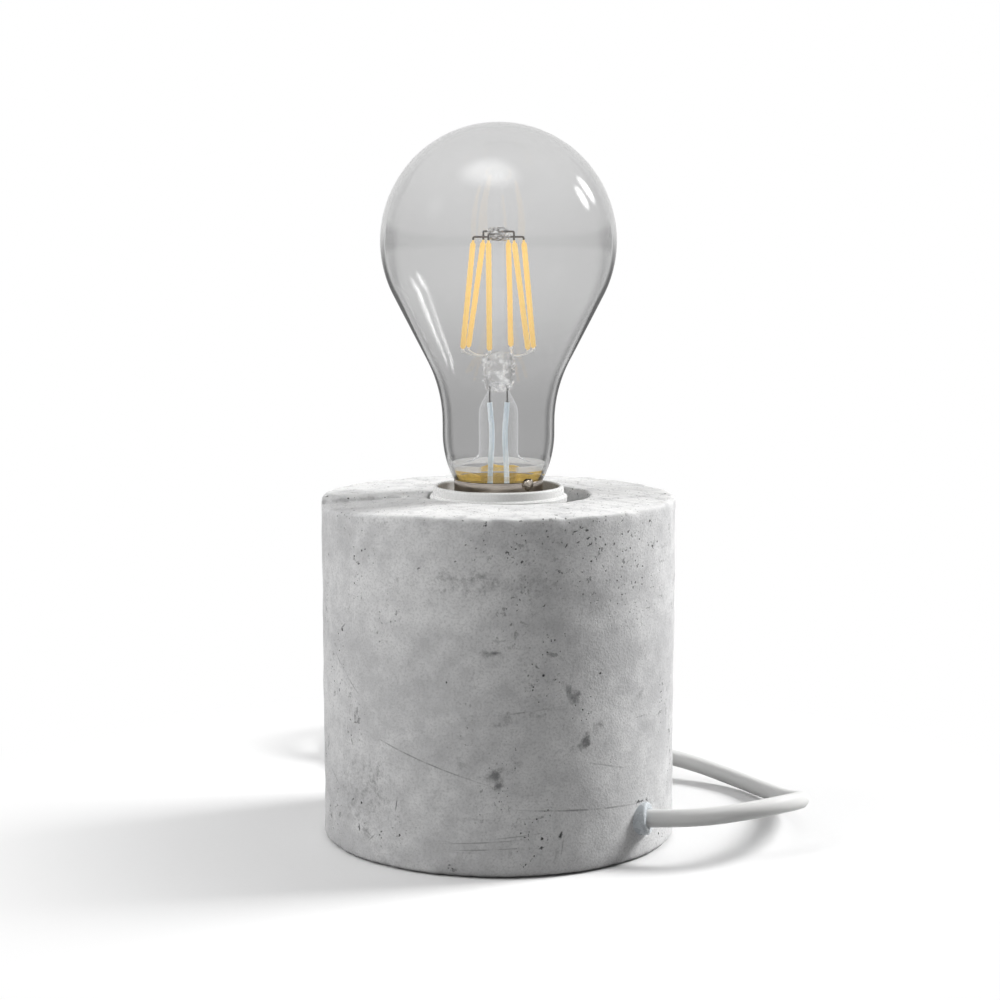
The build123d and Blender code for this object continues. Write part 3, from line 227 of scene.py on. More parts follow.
def surface(grid, ring=False, start=None, end=None):
    """Quads on a grid of rows by columns whose columns close on themselves; rows close too on a ring.
    Rows that rise while the columns run counter-clockwise face outwards. A pole closes the first or last row."""
    rows, columns = grid.shape[:2]
    index = np.arange(rows * columns).reshape(rows, columns)
    low = index if ring else index[:-1]
    high = np.roll(index, -1, axis=0) if ring else index[1:]
    faces = [np.stack([low, np.roll(low, -1, 1), np.roll(high, -1, 1), high], -1).reshape(-1, 4)]
    points = grid.reshape(-1, 3)
    if start is not None:
        row = index[0]
        faces.append(np.stack([np.full(columns, len(points)), np.roll(row, -1), row], -1))
        points = np.vstack([points, start])
    if end is not None:
        row = index[-1]
        faces.append(np.stack([row, np.roll(row, -1), np.full(columns, len(points))], -1))
        points = np.vstack([points, end])
    return points, faces


def turned(profile, columns, origin=(0, 0, 0), along=(0, 0, 1), gather=0.0):
    """Each (r, s) of the profile swings round a line, r out from it and s along it.
    The columns gather by a share on the side across from the first one."""
    profile = np.asarray(profile, float)
    along = np.asarray(along, float) / np.linalg.norm(along)
    level = np.cross((0, 0, 1), along) if abs(along[2]) < 0.99 else np.array((1.0, 0, 0))
    level /= np.linalg.norm(level)
    swing = swings(columns)[:, None]
    swing = swing + gather * np.sin(swing)
    out = np.cos(swing) * level + np.sin(swing) * np.cross(along, level)
    return np.asarray(origin) + profile[:, :1, None] * out[None] + profile[:, 1:, None] * along


def lathe(profile, columns, origin=(0, 0, 0), along=(0, 0, 1), ring=False):
    """A turned surface; where the profile starts or ends on the line, a pole closes it."""
    grid = turned(profile, columns, origin, along)
    first, last = profile[0][0] < 1e-9, profile[-1][0] < 1e-9
    body = grid[int(first):len(grid) - int(last)]
    return surface(body, ring, grid[0, 0] if first else None, grid[-1, 0] if last else None)


def rod(path, radius, columns=16, level=(1, 0, 0)):
    """A bar: a circle of the given radius at each path point, square to the path, with both ends closed."""
    tangent = np.gradient(path, axis=0)
    tangent /= np.linalg.norm(tangent, axis=1, keepdims=True)
    side = np.cross(tangent, level)
    side /= np.linalg.norm(side, axis=1, keepdims=True)
    swing = swings(columns)[None, :, None]
    out = np.cos(swing) * side[:, None] + np.sin(swing) * np.cross(tangent, side)[:, None]
    grid = path[:, None] + np.broadcast_to(radius, len(path))[:, None, None] * out
    return surface(grid, False, path[0], path[-1])


# Objects

def link(name, data):
    """Puts data into the scene as a new object at the origin."""
    obj = bpy.data.objects.new(name, data)
    bpy.context.scene.collection.objects.link(obj)
    return obj


def mesh_of(name, points, faces):
    """A mesh of points and of groups of faces."""
    mesh = bpy.data.meshes.new(name)
    mesh.from_pydata(points.tolist(), [], [face for group in faces for face in group.tolist()])
    return mesh


def put(name, parts, finish, body, nodes=(), sharp=38):
    """Joins surfaces into one mesh object, gives it a finish, and sets it on its CAD body."""
    offsets = np.cumsum([0] + [len(points) for points, _ in parts])
    faces = [face + offset for (_, group), offset in zip(parts, offsets) for face in group]
    mesh = mesh_of(name, np.vstack([points for points, _ in parts]), faces)
    mesh.shade_smooth()
    mesh.set_sharp_from_angle(angle=math.radians(sharp))
    mesh.materials.append(finish)
    obj = link(name, mesh)
    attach(obj, body)
    if nodes:
        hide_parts(*nodes)
    return obj


def store(obj, name, values):
    """Keeps one value for each point of a mesh as a named attribute."""
    layer = obj.data.attributes.new(name, "FLOAT", "POINT")
    layer.data.foreach_set("value", values.ravel().astype(np.float32))


def dress(finish, *nodes):
    """Gives CAD nodes that keep their shape a node material."""
    for node in nodes:
        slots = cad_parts[node].data.materials
        slots.clear()
        slots.append(finish)


# Node materials

class Graph:
    """A node tree with short calls that add nodes."""

    def __init__(self, tree):
        self.nodes, self.links = tree.nodes, tree.links

    def first(self, kind):
        """The first node of a kind in the tree."""
        return next(n for n in self.nodes if n.type == kind)

    def feed(self, socket, value):
        """Links a socket to another one, or sets it to a plain value."""
        if isinstance(value, bpy.types.NodeSocket):
            self.links.new(value, socket)
        else:
            socket.default_value = value

    def add(self, kind, values, **settings):
        """Adds a node, sets its options, and links or sets its inputs by name or number."""
        node = self.nodes.new("ShaderNode" + kind)
        for key, value in settings.items():
            setattr(node, key, value)
        for key, value in values.items():
            self.feed(node.inputs[key], value)
        return node

    def math(self, operation, a, b=0.0, c=0.0):
        """One arithmetic step on up to three values."""
        return self.add("Math", {0: a, 1: b, 2: c}, operation=operation).outputs[0]

    def times(self, a, b):
        """The product of two values."""
        return self.math("MULTIPLY", a, b)

    def plus(self, a, b):
        """The sum of two values."""
        return self.math("ADD", a, b)

    def weighed(self, *pairs):
        """The sum of several values, each times its weight."""
        total = 0.0
        for value, weight in pairs:
            total = self.math("MULTIPLY_ADD", value, weight, total)
        return total

    def most(self, values):
        """The largest of several values, compared as each one is made, so that few are held at a time."""
        top = None
        for value in values:
            top = value if top is None else self.math("MAXIMUM", top, value)
        return top

    def fade(self, value, low, high, to_low=0.0, to_high=1.0):
        """Takes low to high onto a new range, clamped and with soft ends."""
        values = {0: value, 1: low, 2: high, 3: to_low, 4: to_high}
        return self.add("MapRange", values, interpolation_type="SMOOTHSTEP").outputs[0]

    def mix(self, share, a, b):
        """Goes from colour a to colour b by a share."""
        a, b = [c if isinstance(c, bpy.types.NodeSocket) else (*c, 1) for c in (a, b)]
        return self.add("Mix", {0: share, 6: a, 7: b}, data_type="RGBA").outputs[2]

    def reach(self, vector):
        """Length of a vector."""
        return self.add("VectorMath", {0: vector}, operation="LENGTH").outputs["Value"]


class Finish(Graph):
    """A Principled material with textures on Object coordinates."""

    def __init__(self, name, base, roughness, metallic=0.0):
        self.material = bpy.data.materials.new(name)
        self.material.use_nodes = True
        super().__init__(self.material.node_tree)
        self.shader = self.first("BSDF_PRINCIPLED")
        self.place = self.nodes.new("ShaderNodeTexCoord").outputs["Object"]
        self.set(Base_Color=(*base, 1), Roughness=roughness, Metallic=metallic)

    def set(self, **values):
        """Sets or links sockets of the shader; words in a name are joined by an underscore."""
        for key, value in values.items():
            self.feed(self.shader.inputs[key.replace("_", " ")], value)
        return self

    def show(self, node, socket="Surface"):
        """Links a node to the material's output."""
        self.feed(self.first("OUTPUT_MATERIAL").inputs[socket], node.outputs[0])
        return self

    def axes(self):
        """The three coordinates as single values."""
        return self.add("SeparateXYZ", {0: self.place}).outputs

    def stretched(self, scale, vector=None):
        """Coordinates times a scale for each axis."""
        return self.add("Mapping", {"Vector": vector or self.place, "Scale": scale}).outputs[0]

    def noise(self, scale, detail=3.0, roughness=0.55, vector=None):
        """Cloudy noise with so many features to the metre."""
        values = {"Vector": vector or self.place, "Scale": scale, "Detail": detail, "Roughness": roughness}
        return self.add("TexNoise", values).outputs[0]

    def cells(self, scale, vector=None):
        """Distance to scattered points, so many to the metre, and a random colour for each point."""
        outputs = self.add("TexVoronoi", {"Vector": vector or self.place, "Scale": scale}).outputs
        return outputs["Distance"], outputs["Color"]

    def dots(self, scale, size, share, vector):
        """Round dots on a share of scattered points; size is their radius against the points' distance."""
        distance, draw = self.cells(scale, vector)
        pick = self.add("SeparateColor", {0: draw}).outputs
        chosen = self.math("LESS_THAN", pick[0], share)
        inside = self.math("SUBTRACT", self.fade(pick[1], 0.0, 1.0, size * 0.5, size), distance)
        return self.times(chosen, self.fade(inside, 0.0, size * 0.35))

    def bump(self, height, strength, distance):
        """Raises the surface by a height pattern."""
        values = {"Height": height, "Strength": strength, "Distance": distance}
        return self.set(Normal=self.add("Bump", values).outputs[0])


def grey(level):
    """A colour with no hue."""
    return (level, level, level)


def tones(base, spread):
    """A darker and a lighter neighbour of a colour."""
    return [tuple(min(1.0, c * f) for c in base) for f in (1 - spread, 1 + spread)]


def moulded(name, base, roughness=0.4, grain=2600.0, spread=0.05, depth=0.00004):
    """Moulded plastic or rubber: slight tone clouds, a fine spark-eroded grain and uneven sheen."""
    finish = Finish(name, base, roughness)
    grit = finish.noise(grain, 2.0)
    finish.set(Base_Color=finish.mix(finish.noise(60.0, 4.0), *tones(base, spread)),
               Roughness=finish.fade(grit, 0.3, 0.7, roughness - 0.06, roughness + 0.06))
    return finish.bump(grit, 0.35, depth).material


def metal(name, base, roughness=0.3, stretch=(400, 400, 3000), spread=0.08, depth=0.00002, glow=0.0):
    """Plated or rolled metal: fine drawn lines, tone clouds and dull patches; a glow above 0 adds painted light."""
    finish = Finish(name, base, roughness, 1.0)
    lines = finish.noise(1.0, 3.0, 0.6, finish.stretched(stretch))
    cloud = finish.noise(150.0, 4.0)
    finish.set(Base_Color=finish.mix(cloud, *tones(base, spread)), Emission_Color=WHITE, Emission_Strength=glow,
               Roughness=finish.fade(cloud, 0.3, 0.75, roughness - 0.08, roughness + 0.1))
    return finish.bump(lines, 0.25, depth).material


def clear(name, tint, absorb, haze=0.0, ripple=0.00003, scale=45.0, bend=1.5, deep=None):
    """Blown glass: clear, with slow waves, and light taken up along its thickness, or else a painted pale glow
    through its volume.
    A second tint takes over downwards, from the globe's middle to the neck."""
    finish = Finish(name, tint, 0.0)
    finish.set(Transmission_Weight=1.0, IOR=bend)
    if deep:
        height = finish.axes()[2]
        middle = tuple((2 * a + b) / 3 for a, b in zip(tint, deep))
        low = finish.mix(finish.fade(height, 0.125, 0.168), deep, middle)
        finish.set(Base_Color=finish.mix(finish.fade(height, 0.175, 0.206), low, tint))
    if absorb:
        volume = finish.add("VolumeAbsorption", {"Color": (*grey(0.5), 1), "Density": absorb})
    else:
        # A volume that takes no light up gets a painted pale glow of the haze strength.
        volume = finish.add("Emission", {"Color": (0.94, 0.97, 1.0, 1), "Strength": haze})
    finish.show(volume, "Volume")
    finish.set(Roughness=finish.fade(finish.noise(scale * 4), 0.35, 0.8, 0.0, 0.03))
    return finish.bump(finish.noise(scale, 2.0), 0.5, ripple).material


def thin_in_front(finish, cover, left):
    """Cover of a ring in the neck that goes down to what is left of it at the middle of the front."""
    axes = finish.axes()
    aside = finish.math("ABSOLUTE", axes[0])
    gap = finish.times(finish.fade(aside, 0.0064, 0.0040), finish.fade(axes[1], 0.0, -0.004))
    return finish.fade(gap, 0.0, 1.0, cover, left)


def crackled_glass():
    """Pinched glass: deep ripples, with a painted glint where the ripple noise is high."""
    finish = Finish("crackled_glass", grey(0.98), 0.02)
    ripple_glint = finish.noise(420.0, 3.0, 0.6)
    # The emission is a painted glint, standing in for light caught in the ripples.
    finish.set(Transmission_Weight=0.85, IOR=1.35, Emission_Color=WHITE,
               Emission_Strength=finish.fade(ripple_glint, 0.46, 0.68, 0.05, 0.34))
    return finish.bump(ripple_glint, 0.6, 0.0012).material


def frosted_seal():
    """Frosted glass of the seal: milky clouds that let the sleeves show through in front, and a painted white glow.
    """
    finish = Finish("frosted_seal", (0.92, 0.93, 0.93), 0.5)
    haze = finish.noise(700.0, 4.0)
    # The emission is a painted white glow that lightens the seal.
    finish.set(Base_Color=finish.mix(haze, (0.88, 0.89, 0.89), grey(0.98)), Alpha=thin_in_front(finish, 0.6, 0.08),
               Emission_Color=WHITE, Emission_Strength=0.55)
    return finish.bump(haze, 0.4, 0.0002).material


def filament_coat(amber):
    """Grained orange coat of a bar filament, which lets some light through, with a painted orange glow in place of a
    lit filament.
    """
    finish = Finish("filament_coat", amber, 0.45)
    grain = finish.noise(900.0, 2.0)
    # The emission is a painted glow: the bars shine though nothing lights them.
    finish.set(Base_Color=finish.mix(grain, *tones(amber, 0.12)), Emission_Color=(1.0, 0.68, 0.23, 1),
               Emission_Strength=0.80, Subsurface_Weight=0.2, Subsurface_Radius=(0.0006, 0.0004, 0.0001))
    return finish.bump(grain, 0.3, 0.00005).material


def wire_sleeve():
    """Pale blue insulating sleeve with streaks along it, and a painted glow that is brighter on the pale streaks."""
    finish = Finish("wire_sleeve", (0.80, 0.91, 0.98), 0.3)
    milk_glow = finish.noise(1.0, 3.0, 0.55, finish.stretched((1500, 1500, 50)))
    # The emission is a painted glow, stronger on the pale streaks.
    finish.set(Base_Color=finish.mix(finish.fade(milk_glow, 0.35, 0.65), (0.62, 0.78, 0.90), (0.95, 0.98, 1.0)),
               Subsurface_Weight=0.4, Subsurface_Radius=(0.001, 0.001, 0.0012),
               Emission_Color=(0.84, 0.93, 1.0, 1), Emission_Strength=finish.fade(milk_glow, 0.35, 0.65, 0.48, 0.8))
    return finish.bump(milk_glow, 0.2, 0.00004).material


def amber_cement():
    """Blotched amber cement that thins out in front, with a painted amber glow."""
    finish = Finish("amber_cement", (0.80, 0.50, 0.08), 0.3)
    blot = finish.noise(1.0, 4.0, 0.6, finish.stretched((220, 220, 700)))
    # The emission is a painted amber glow that lightens the cement.
    finish.set(Base_Color=finish.mix(finish.fade(blot, 0.38, 0.62), (0.36, 0.20, 0.03), (0.95, 0.70, 0.20)),
               Emission_Color=(1.0, 0.69, 0.18, 1), Emission_Strength=0.63, Alpha=thin_in_front(finish, 1.0, 0.15))
    return finish.bump(blot, 0.4, 0.0003).material


def milky_sleeve():
    """Soft clear plastic with a milky haze."""
    finish = Finish("milky_sleeve", (0.90, 0.91, 0.91), 0.22)
    haze = finish.noise(500.0, 3.0)
    finish.set(Base_Color=finish.mix(haze, (0.68, 0.73, 0.77), (0.75, 0.79, 0.82)), Transmission_Weight=0.15,
               Roughness=finish.fade(haze, 0.3, 0.7, 0.15, 0.4), IOR=1.45)
    return finish.bump(haze, 0.2, 0.00003).material


def tie_band(base):
    """Black woven band with a short nap."""
    finish = Finish("tie_band", base, 0.75)
    weave, _ = finish.cells(2600.0)
    nap = finish.fade(weave, 0.1, 0.6)
    finish.set(Base_Color=finish.mix(nap, (0.055, 0.055, 0.06), (0.015, 0.015, 0.016)), Sheen_Weight=0.3,
               Roughness=finish.fade(weave, 0.1, 0.6, 0.65, 0.9))
    return finish.bump(weave, 0.6, 0.00015).material


# Marks on the block's side: degrees from the front to the right, height, half width, half height (mm), turn, weight
# In the first table, the large soft blot at -47 degrees and 21 mm up is painted shade at the lower left of the side;
# the other entries are smudges.
SMUDGES_AND_SHADE = (
    (-7, 84.5, 22, 6, -3, 0.49), (10, 83, 14, 6, -8, 0.46), (-47, 21, 21, 17, 0, 0.43), (0, 68.7, 4.2, 1.0, 4, 0.6),
    (-1.5, 64.6, 5, 1.7, 3, 0.75), (23, 52.5, 2.3, 5.0, 42, 0.85), (28, 38.8, 1.7, 4.4, -30, 0.85),
    (25.6, 36.8, 2.2, 1.2, 20, 0.75), (24, 36.3, 3.6, 1.0, 8, 0.6), (-1.5, 30.4, 4.4, 2.6, 24, 0.85),
    (0.5, 27.6, 2.2, 1.6, -50, 0.8), (6, 33.6, 5, 1.6, -35, 0.6), (-11, 32.6, 2.6, 2.2, 0, 0.5),
    (0.5, 45.4, 7, 2.0, 28, 0.6), (12, 47.2, 5, 1.4, 4, 0.45), (-60, 40, 3, 8, 30, 0.3),
    (33, 42, 4.5, 3.2, 20, 0.5), (-10, 40, 8, 2, -25, 0.35), (9, 58.2, 6, 1.8, 5, 0.35),
    (9.5, 76, 1.6, 2.2, 0, 0.5), (40, 82, 6, 4, 15, 0.3), (-46, 8.4, 4.2, 2.6, 20, 0.5),
    (-33, 84.6, 1.8, 1.6, 30, 0.5), (-51, 84, 1.4, 1.8, 20, 0.55), (51, 49, 2.2, 2.4, 0, 0.5),
    (12, 95, 22, 4, 0, 0.34), (60, 60, 3, 6, 10, 0.3), (-42, 27, 4, 2.4, 30, 0.4), (17, 5.5, 2.2, 3.4, -10, 0.5),
    (-20, 92, 9, 2.4, 4, 0.33), (-38, 99.5, 3, 1.6, 0, 0.5),
)
HAIRLINES = (
    (-57, 54.5, 9, 0.22, -38, 0.8), (-26, 33.6, 23, 0.22, -17, 0.7), (28, 18.6, 21, 0.3, -4, 0.7),
    (-64, 21, 7, 0.25, -25, 0.5), (-5, 10.6, 12, 0.2, 4, 0.6), (-3, 8.6, 10, 0.2, 3, 0.6),
    (6, 12.4, 8, 0.2, 6, 0.5), (38, 30, 10, 0.25, -14, 0.4), (8, 48, 9, 0.25, 6, 0.4),
    (-33.5, 19.4, 0.22, 2.2, -10, 0.9), (-58, 68, 1.8, 0.3, 35, 0.7), (-46, 9.4, 2.8, 0.2, -30, 0.7),
    (-44, 8, 2.4, 0.2, 40, 0.6), (51, 42.6, 2.6, 0.22, 0, 0.8), (20, 9, 0.22, 3.2, -8, 0.6),
)
POROUS = ((38, 90, 28, 18, 0, 1), (3, 95, 20, 7, 0, 0.9), (-40, 12, 14, 8, 0, 0.7), (50, 82, 18, 14, 0, 0.9))
# Pores are drawn near-black on the block, as painted shade inside them.
PORES = (
    (-70, 87.6, 0.4, 0.4, 0, 1), (-16, 56.3, 0.35, 0.35, 0, 1), (33, 57.4, 0.42, 0.42, 0, 1),
    (-50, 10.0, 0.36, 1.2, 6, 1), (-32.5, 10.4, 0.42, 0.36, 30, 1), (19.4, 12, 0.55, 1.25, -18, 1),
    (13.2, 8.8, 0.4, 0.75, -20, 0.9), (-53, 17.7, 0.36, 0.32, 0, 1), (-48.6, 17.5, 0.4, 0.4, 0, 1),
    (51, 17.4, 2.0, 0.32, -8, 0.9), (55, 17.2, 0.9, 0.3, -40, 0.8), (-11, 101.9, 0.3, 0.3, 0, 0.9),
    (-3.9, 101.0, 0.34, 0.7, 0, 1), (6.8, 101.9, 0.5, 0.25, 0, 0.8), (21, 94.6, 0.7, 0.22, 60, 0.9),
    (24, 98.4, 0.8, 0.25, 15, 0.9), (26, 99.5, 0.7, 0.22, -25, 0.9), (28, 98.6, 0.8, 0.25, 8, 0.9),
    (28.5, 96.4, 0.7, 0.3, 20, 0.9), (29, 94.4, 0.8, 0.26, 5, 0.9), (25, 95.4, 0.4, 0.3, 0, 0.8),
    (3, 93.2, 1.0, 0.22, -40, 0.8), (4.4, 91.8, 0.6, 0.2, -30, 0.8), (7, 90.5, 0.38, 0.42, 0, 0.9),
    (18.6, 87.6, 1.1, 0.2, -35, 0.7), (55, 99, 0.7, 0.4, 30, 0.9), (57, 91.6, 0.6, 0.34, -20, 0.9),
    (60, 92.4, 0.4, 0.3, 0, 0.8), (48.6, 86.8, 0.42, 0.42, 0, 1), (14, 78, 0.3, 0.3, 0, 0.9),
    (38, 94, 0.36, 0.36, 0, 0.9), (44, 97, 0.42, 0.3, 20, 0.9), (-25, 88, 0.6, 0.2, 20, 0.7),
    (-13, 90.6, 0.4, 0.2, 0, 0.7),
)

# Chips in the block's upper edge: degrees from the front to the right, half width and depth (mm)
CHIPS = ((-12.7, 2.2, 0.7), (-3.5, 1.6, 0.6), (6.5, 2.4, 0.5), (21, 2.0, 0.8), (49, 2.6, 1.0), (78, 2.5, 0.6),
         (115, 3, 0.8), (170, 2.5, 0.7), (-140, 3, 0.8), (-80, 2, 0.6))


def marks(finish, unrolled, table, soft):
    """The strongest of several ellipses on the unrolled side; each fades over its outer share."""
    def spots():
        for angle, height, wide, high, turn, weight in table:
            values = {"Vector": unrolled, "Location": (math.radians(angle) * BLOCK_RADIUS, height / 1000, 0),
                      "Rotation": (0, 0, math.radians(turn)), "Scale": (wide / 1000, high / 1000, 1)}
            local = finish.add("Mapping", values, vector_type="TEXTURE").outputs[0]
            yield finish.fade(finish.reach(local), 1 - soft, 1 + soft / 2, weight, 0.0)
    return finish.most(spots())


def blots(across, height, table):
    """The strongest of several soft ellipses, measured on the unrolled side in millimetres."""
    spots = np.array(table, float)[:, :, None, None]
    angle, level, wide, high, turn, weight = (spots[:, k] for k in range(6))
    x, y, tilt = across - np.radians(angle) * BLOCK_RADIUS * 1000, height - level, np.radians(turn)
    along = (x * np.cos(tilt) + y * np.sin(tilt)) / wide
    aside = (y * np.cos(tilt) - x * np.sin(tilt)) / high
    return (weight * (1 - smooth(np.hypot(along, aside), 0.2, 1.25))).max(0)


def concrete(s):
    """Cast concrete: tone clouds, sand, air pores and pits filled with near-black painted shade, smudges and a large
    painted shade at the lower left, hairlines and scratches on the side, scuffs darkened with painted shade, pale
    worn edges.
    """
    finish = Finish("concrete", s.light, 0.85)
    x, y, z = finish.axes()
    across = finish.times(finish.math("ARCTAN2", x, finish.times(y, -1.0)), s.radius)
    plain = finish.add("CombineXYZ", {0: across, 1: z}).outputs[0]
    cloud = finish.noise(24.0, 5.0, 0.6)
    band = finish.noise(1.0, 6.0, 0.6, finish.stretched((30, 30, 75)))
    mottle = finish.noise(170.0, 6.0, 0.65)
    sand = finish.noise(1500.0, 3.0, 0.6)
    rub = finish.noise(1.0, 3.0, 0.6, finish.stretched((45, 900, 1), plain))
    scratch = finish.times(finish.fade(rub, 0.60, 0.74), finish.fade(z, 0.04, 0.008, 0.15, 0.6))
    stored, patch = (finish.add("Attribute", {}, attribute_name=name).outputs["Fac"]
                     for name in ("smudge_and_shade", "porous"))
    grit = finish.times(finish.plus(finish.noise(430.0, 6.0, 0.75), -0.5), 1.5)
    smudge_and_shade = finish.fade(finish.plus(stored, grit), 0.28, 0.92, 0.0, 0.85)
    line = marks(finish, plain, HAIRLINES, 0.8)
    smudge_and_shade = finish.most((smudge_and_shade, finish.times(line, finish.fade(mottle, 0.35, 0.55))))
    smudge_and_shade = finish.most((smudge_and_shade, finish.times(scratch, 0.35)))
    # Scuffs are dents in the bump, and their darkening in the colour is painted shade in the dents.
    dent_and_shade = finish.times(finish.fade(finish.noise(310.0, 4.0, 0.7), 0.62, 0.67), patch)
    smudge_and_shade = finish.most((smudge_and_shade, finish.times(dent_and_shade, 0.5)))
    drift = finish.add("TexNoise", {"Vector": finish.place, "Scale": 900.0}).outputs[1]
    wander = finish.add("VectorMath", {0: drift, 1: grey(0.0011), 2: finish.place}, operation="MULTIPLY_ADD")
    pits = finish.most(finish.dots(*kind, wander.outputs[0]) for kind in ((800.0, 0.25, 0.62), (260.0, 0.15, 0.42)))
    pits = finish.times(pits, patch)
    fray = finish.times(finish.plus(finish.noise(1300.0, 2.0), -0.5), 0.0016)
    frayed = finish.add("CombineXYZ", {0: finish.plus(across, fray), 1: finish.plus(z, fray)}).outputs[0]
    pore_shade = finish.most((marks(finish, frayed, PORES, 0.5), pits))
    share = finish.weighed((cloud, 0.3), (mottle, 0.35), (band, 0.35))
    base = finish.mix(finish.fade(share, 0.38, 0.62), s.dark, s.light)
    base = finish.mix(finish.fade(sand, 0.42, 0.72, 0.0, 0.5), base, grey(0.41))
    # The marks take the stain tone; among them, the large blot at the lower left and the dark in scuffed dents are
    # painted shade.
    base = finish.mix(smudge_and_shade, base, s.stain_and_shade)
    edge = finish.fade(z, s.top - 0.0022, s.top - 0.0004)
    worn = finish.times(edge, finish.fade(mottle, 0.3, 0.6, 0.1, 0.6))
    base = finish.mix(worn, base, (0.83, 0.83, 0.82))
    # The near-black in pores and pits is painted shade inside the holes.
    base = finish.mix(pore_shade, base, (0.03, 0.03, 0.031))
    finish.set(Base_Color=base, Roughness=finish.fade(mottle, 0.3, 0.7, 0.74, 0.92))
    height = finish.weighed((sand, 0.25), (mottle, 0.4), (finish.most((pits, dent_and_shade)), -0.9))
    return finish.bump(height, 0.75, 0.0006).material


# Pieces

class LAMP_OT_concrete_block(bpy.types.Operator):
    """Cast block with well, chamber and casting step"""
    bl_idname = "lamp.concrete_block"
    bl_label = "Concrete Block"

    def execute(self, context):
        """The outline swings round the axis, and the well's part of it moves aside. Waves, chips, crumbs, the
        casting step and dents then move the points, as sums of sines and bell curves in millimetres."""
        s = context.scene.lamp_block
        profile, outside, ease = self.outline(s)
        grid = turned(profile, s.columns, gather=0.65)
        grid += ease[:, None, None] * np.array((s.well_x, s.well_y, 0))
        x, y, z = (grid[..., k] * 1000 for k in range(3))
        radius, top, foot = s.radius * 1000, s.top * 1000, s.foot * 1000
        turn, out = np.arctan2(x, -y), np.hypot(x, y)
        wave = 0.10 * np.sin(2 * turn + 0.05 * z) + 0.07 * np.sin(5 * turn - 0.11 * z + 1.3)
        wave = wave + 0.05 * np.sin(13 * turn + 0.31 * z + 0.4) + 0.04 * np.sin(29 * turn - 0.53 * z) - 0.26
        near_top = np.exp(-((z - top) ** 2 + (out - radius) ** 2) / 3.0)
        near_foot = np.exp(-((z - foot) ** 2 + (out - radius) ** 2) / 2.0)
        at, wide, deep = np.array(CHIPS).T[:, :, None, None]
        apart = (turn - np.radians(at) + math.pi) % TAU - math.pi
        chip = (deep * np.exp(-(apart * radius / wide) ** 2)).sum(0)
        ragged = 0.22 * np.abs(np.sin(17 * turn + 0.6)) + 0.18 * np.abs(np.sin(41 * turn)) + chip
        crumb = np.abs(np.sin(37 * turn + 0.7) * np.sin(7 * turn)) ** 2
        crumb = (0.12 * np.abs(np.sin(23 * turn + 2)) + 0.25 * crumb) * near_foot
        worn = 0.6 * ragged * near_top
        push = 1 + (wave * outside - worn - crumb) / out
        x, y = x * push, y * push
        upper = (profile[:, 1] > s.top - 0.0003)[:, None]
        dents = 0.12 * np.sin(0.35 * x + 1) * np.sin(0.4 * y) + 0.08 * np.sin(1.1 * x) * np.sin(0.9 * y + 2)
        z = z + self.step(x, y) * smooth(z, 86.0, top) - worn + np.where(upper, dents - 0.2, 0) + 0.4 * crumb
        block = put("concrete_block", [surface(grid_of(x, y, z) / 1000, ring=True)], concrete(s), "base",
                    ["concrete_body"], 80)
        waver = 0.6 * np.sin(0.8 * z + 0.5 * np.sin(17 * turn)) + 0.4 * np.sin(1.9 * z - 31 * turn)
        drift = 0.5 * np.sin(29 * turn + 0.3 * z) + 0.3 * np.sin(61 * turn - 0.9 * z)
        across = radius * turn
        store(block, "smudge_and_shade", blots(across + waver, z + drift, SMUDGES_AND_SHADE) * outside)
        cloud = np.sin(7 * turn + 0.05 * z) * np.sin(0.07 * z + 2 * turn) + 0.5 * np.sin(19 * turn - 0.16 * z)
        porous = np.maximum(smooth(cloud, 0.1, 1.1), blots(across, z, POROUS))
        store(block, "porous", np.where(outside, porous, 0.8))
        return {"FINISHED"}

    def outline(self, s):
        """A closed outline (r, z): foot, side, brow, top, well, tube hole, chamber and plate recess.
        With it go 1 for each row outside, and the share by which each row follows the well."""
        lip = 0.0007
        edge, rim = s.radius - s.edge, s.well_radius + lip
        foot = arc((edge, s.foot + s.edge), s.edge, -90, 0, 6)[:-1]
        side = straight(s.radius, s.foot + s.edge, s.top - s.edge, 88)
        brow = arc((edge, s.top - s.edge), s.edge, 0, 90, 7)[1:]
        share = np.linspace(0, 1, 40)[1:, None]
        face = between(brow[-1:], np.array([[rim, s.top]]), share)
        well = np.vstack([arc((rim, s.top - lip), lip, 90, 180, 5)[1:],
                          straight(s.well_radius, s.top - lip, s.well_floor, 10)[1:]])
        inner = np.array([
            (s.tube_hole + 0.004, s.well_floor), (s.tube_hole, s.well_floor), (s.tube_hole, s.chamber_top),
            (s.chamber_radius, s.chamber_top), (s.chamber_radius, s.plate_top), (s.plate_radius, s.plate_top),
            (s.plate_radius, s.foot)])
        skin = np.vstack([foot, side, brow])
        profile = np.vstack([skin, face, well, inner])
        outside = (np.arange(len(profile)) < len(skin)).astype(float)[:, None]
        ease = np.concatenate([np.zeros(len(skin)), share[:, 0], np.ones(len(well)), np.zeros(len(inner))])
        return profile, outside, ease

    def step(self, x, y):
        """Drop of the casting step in millimetres: a sloping floor in front of a wavy line, below a ledge in
        two stages that eases off where it meets the well."""
        floor = np.minimum(0.644 + 0.0617 * x - 0.01996 * y, 0)
        line = -2 + (x + 50) / 6 + 0.4 * np.sin(0.31 * x) + 0.3 * np.sin(0.83 * x + 1) + 0.12 * np.sin(2.3 * x)
        notch = smooth(x, -29, -26.5)
        past = (line - 1.2 * notch - y) / (1 + 6 * notch)
        return floor * (0.4 * smooth(past, -1.3, 0.3) + 0.6 * smooth(past, 0.2, 0.8))


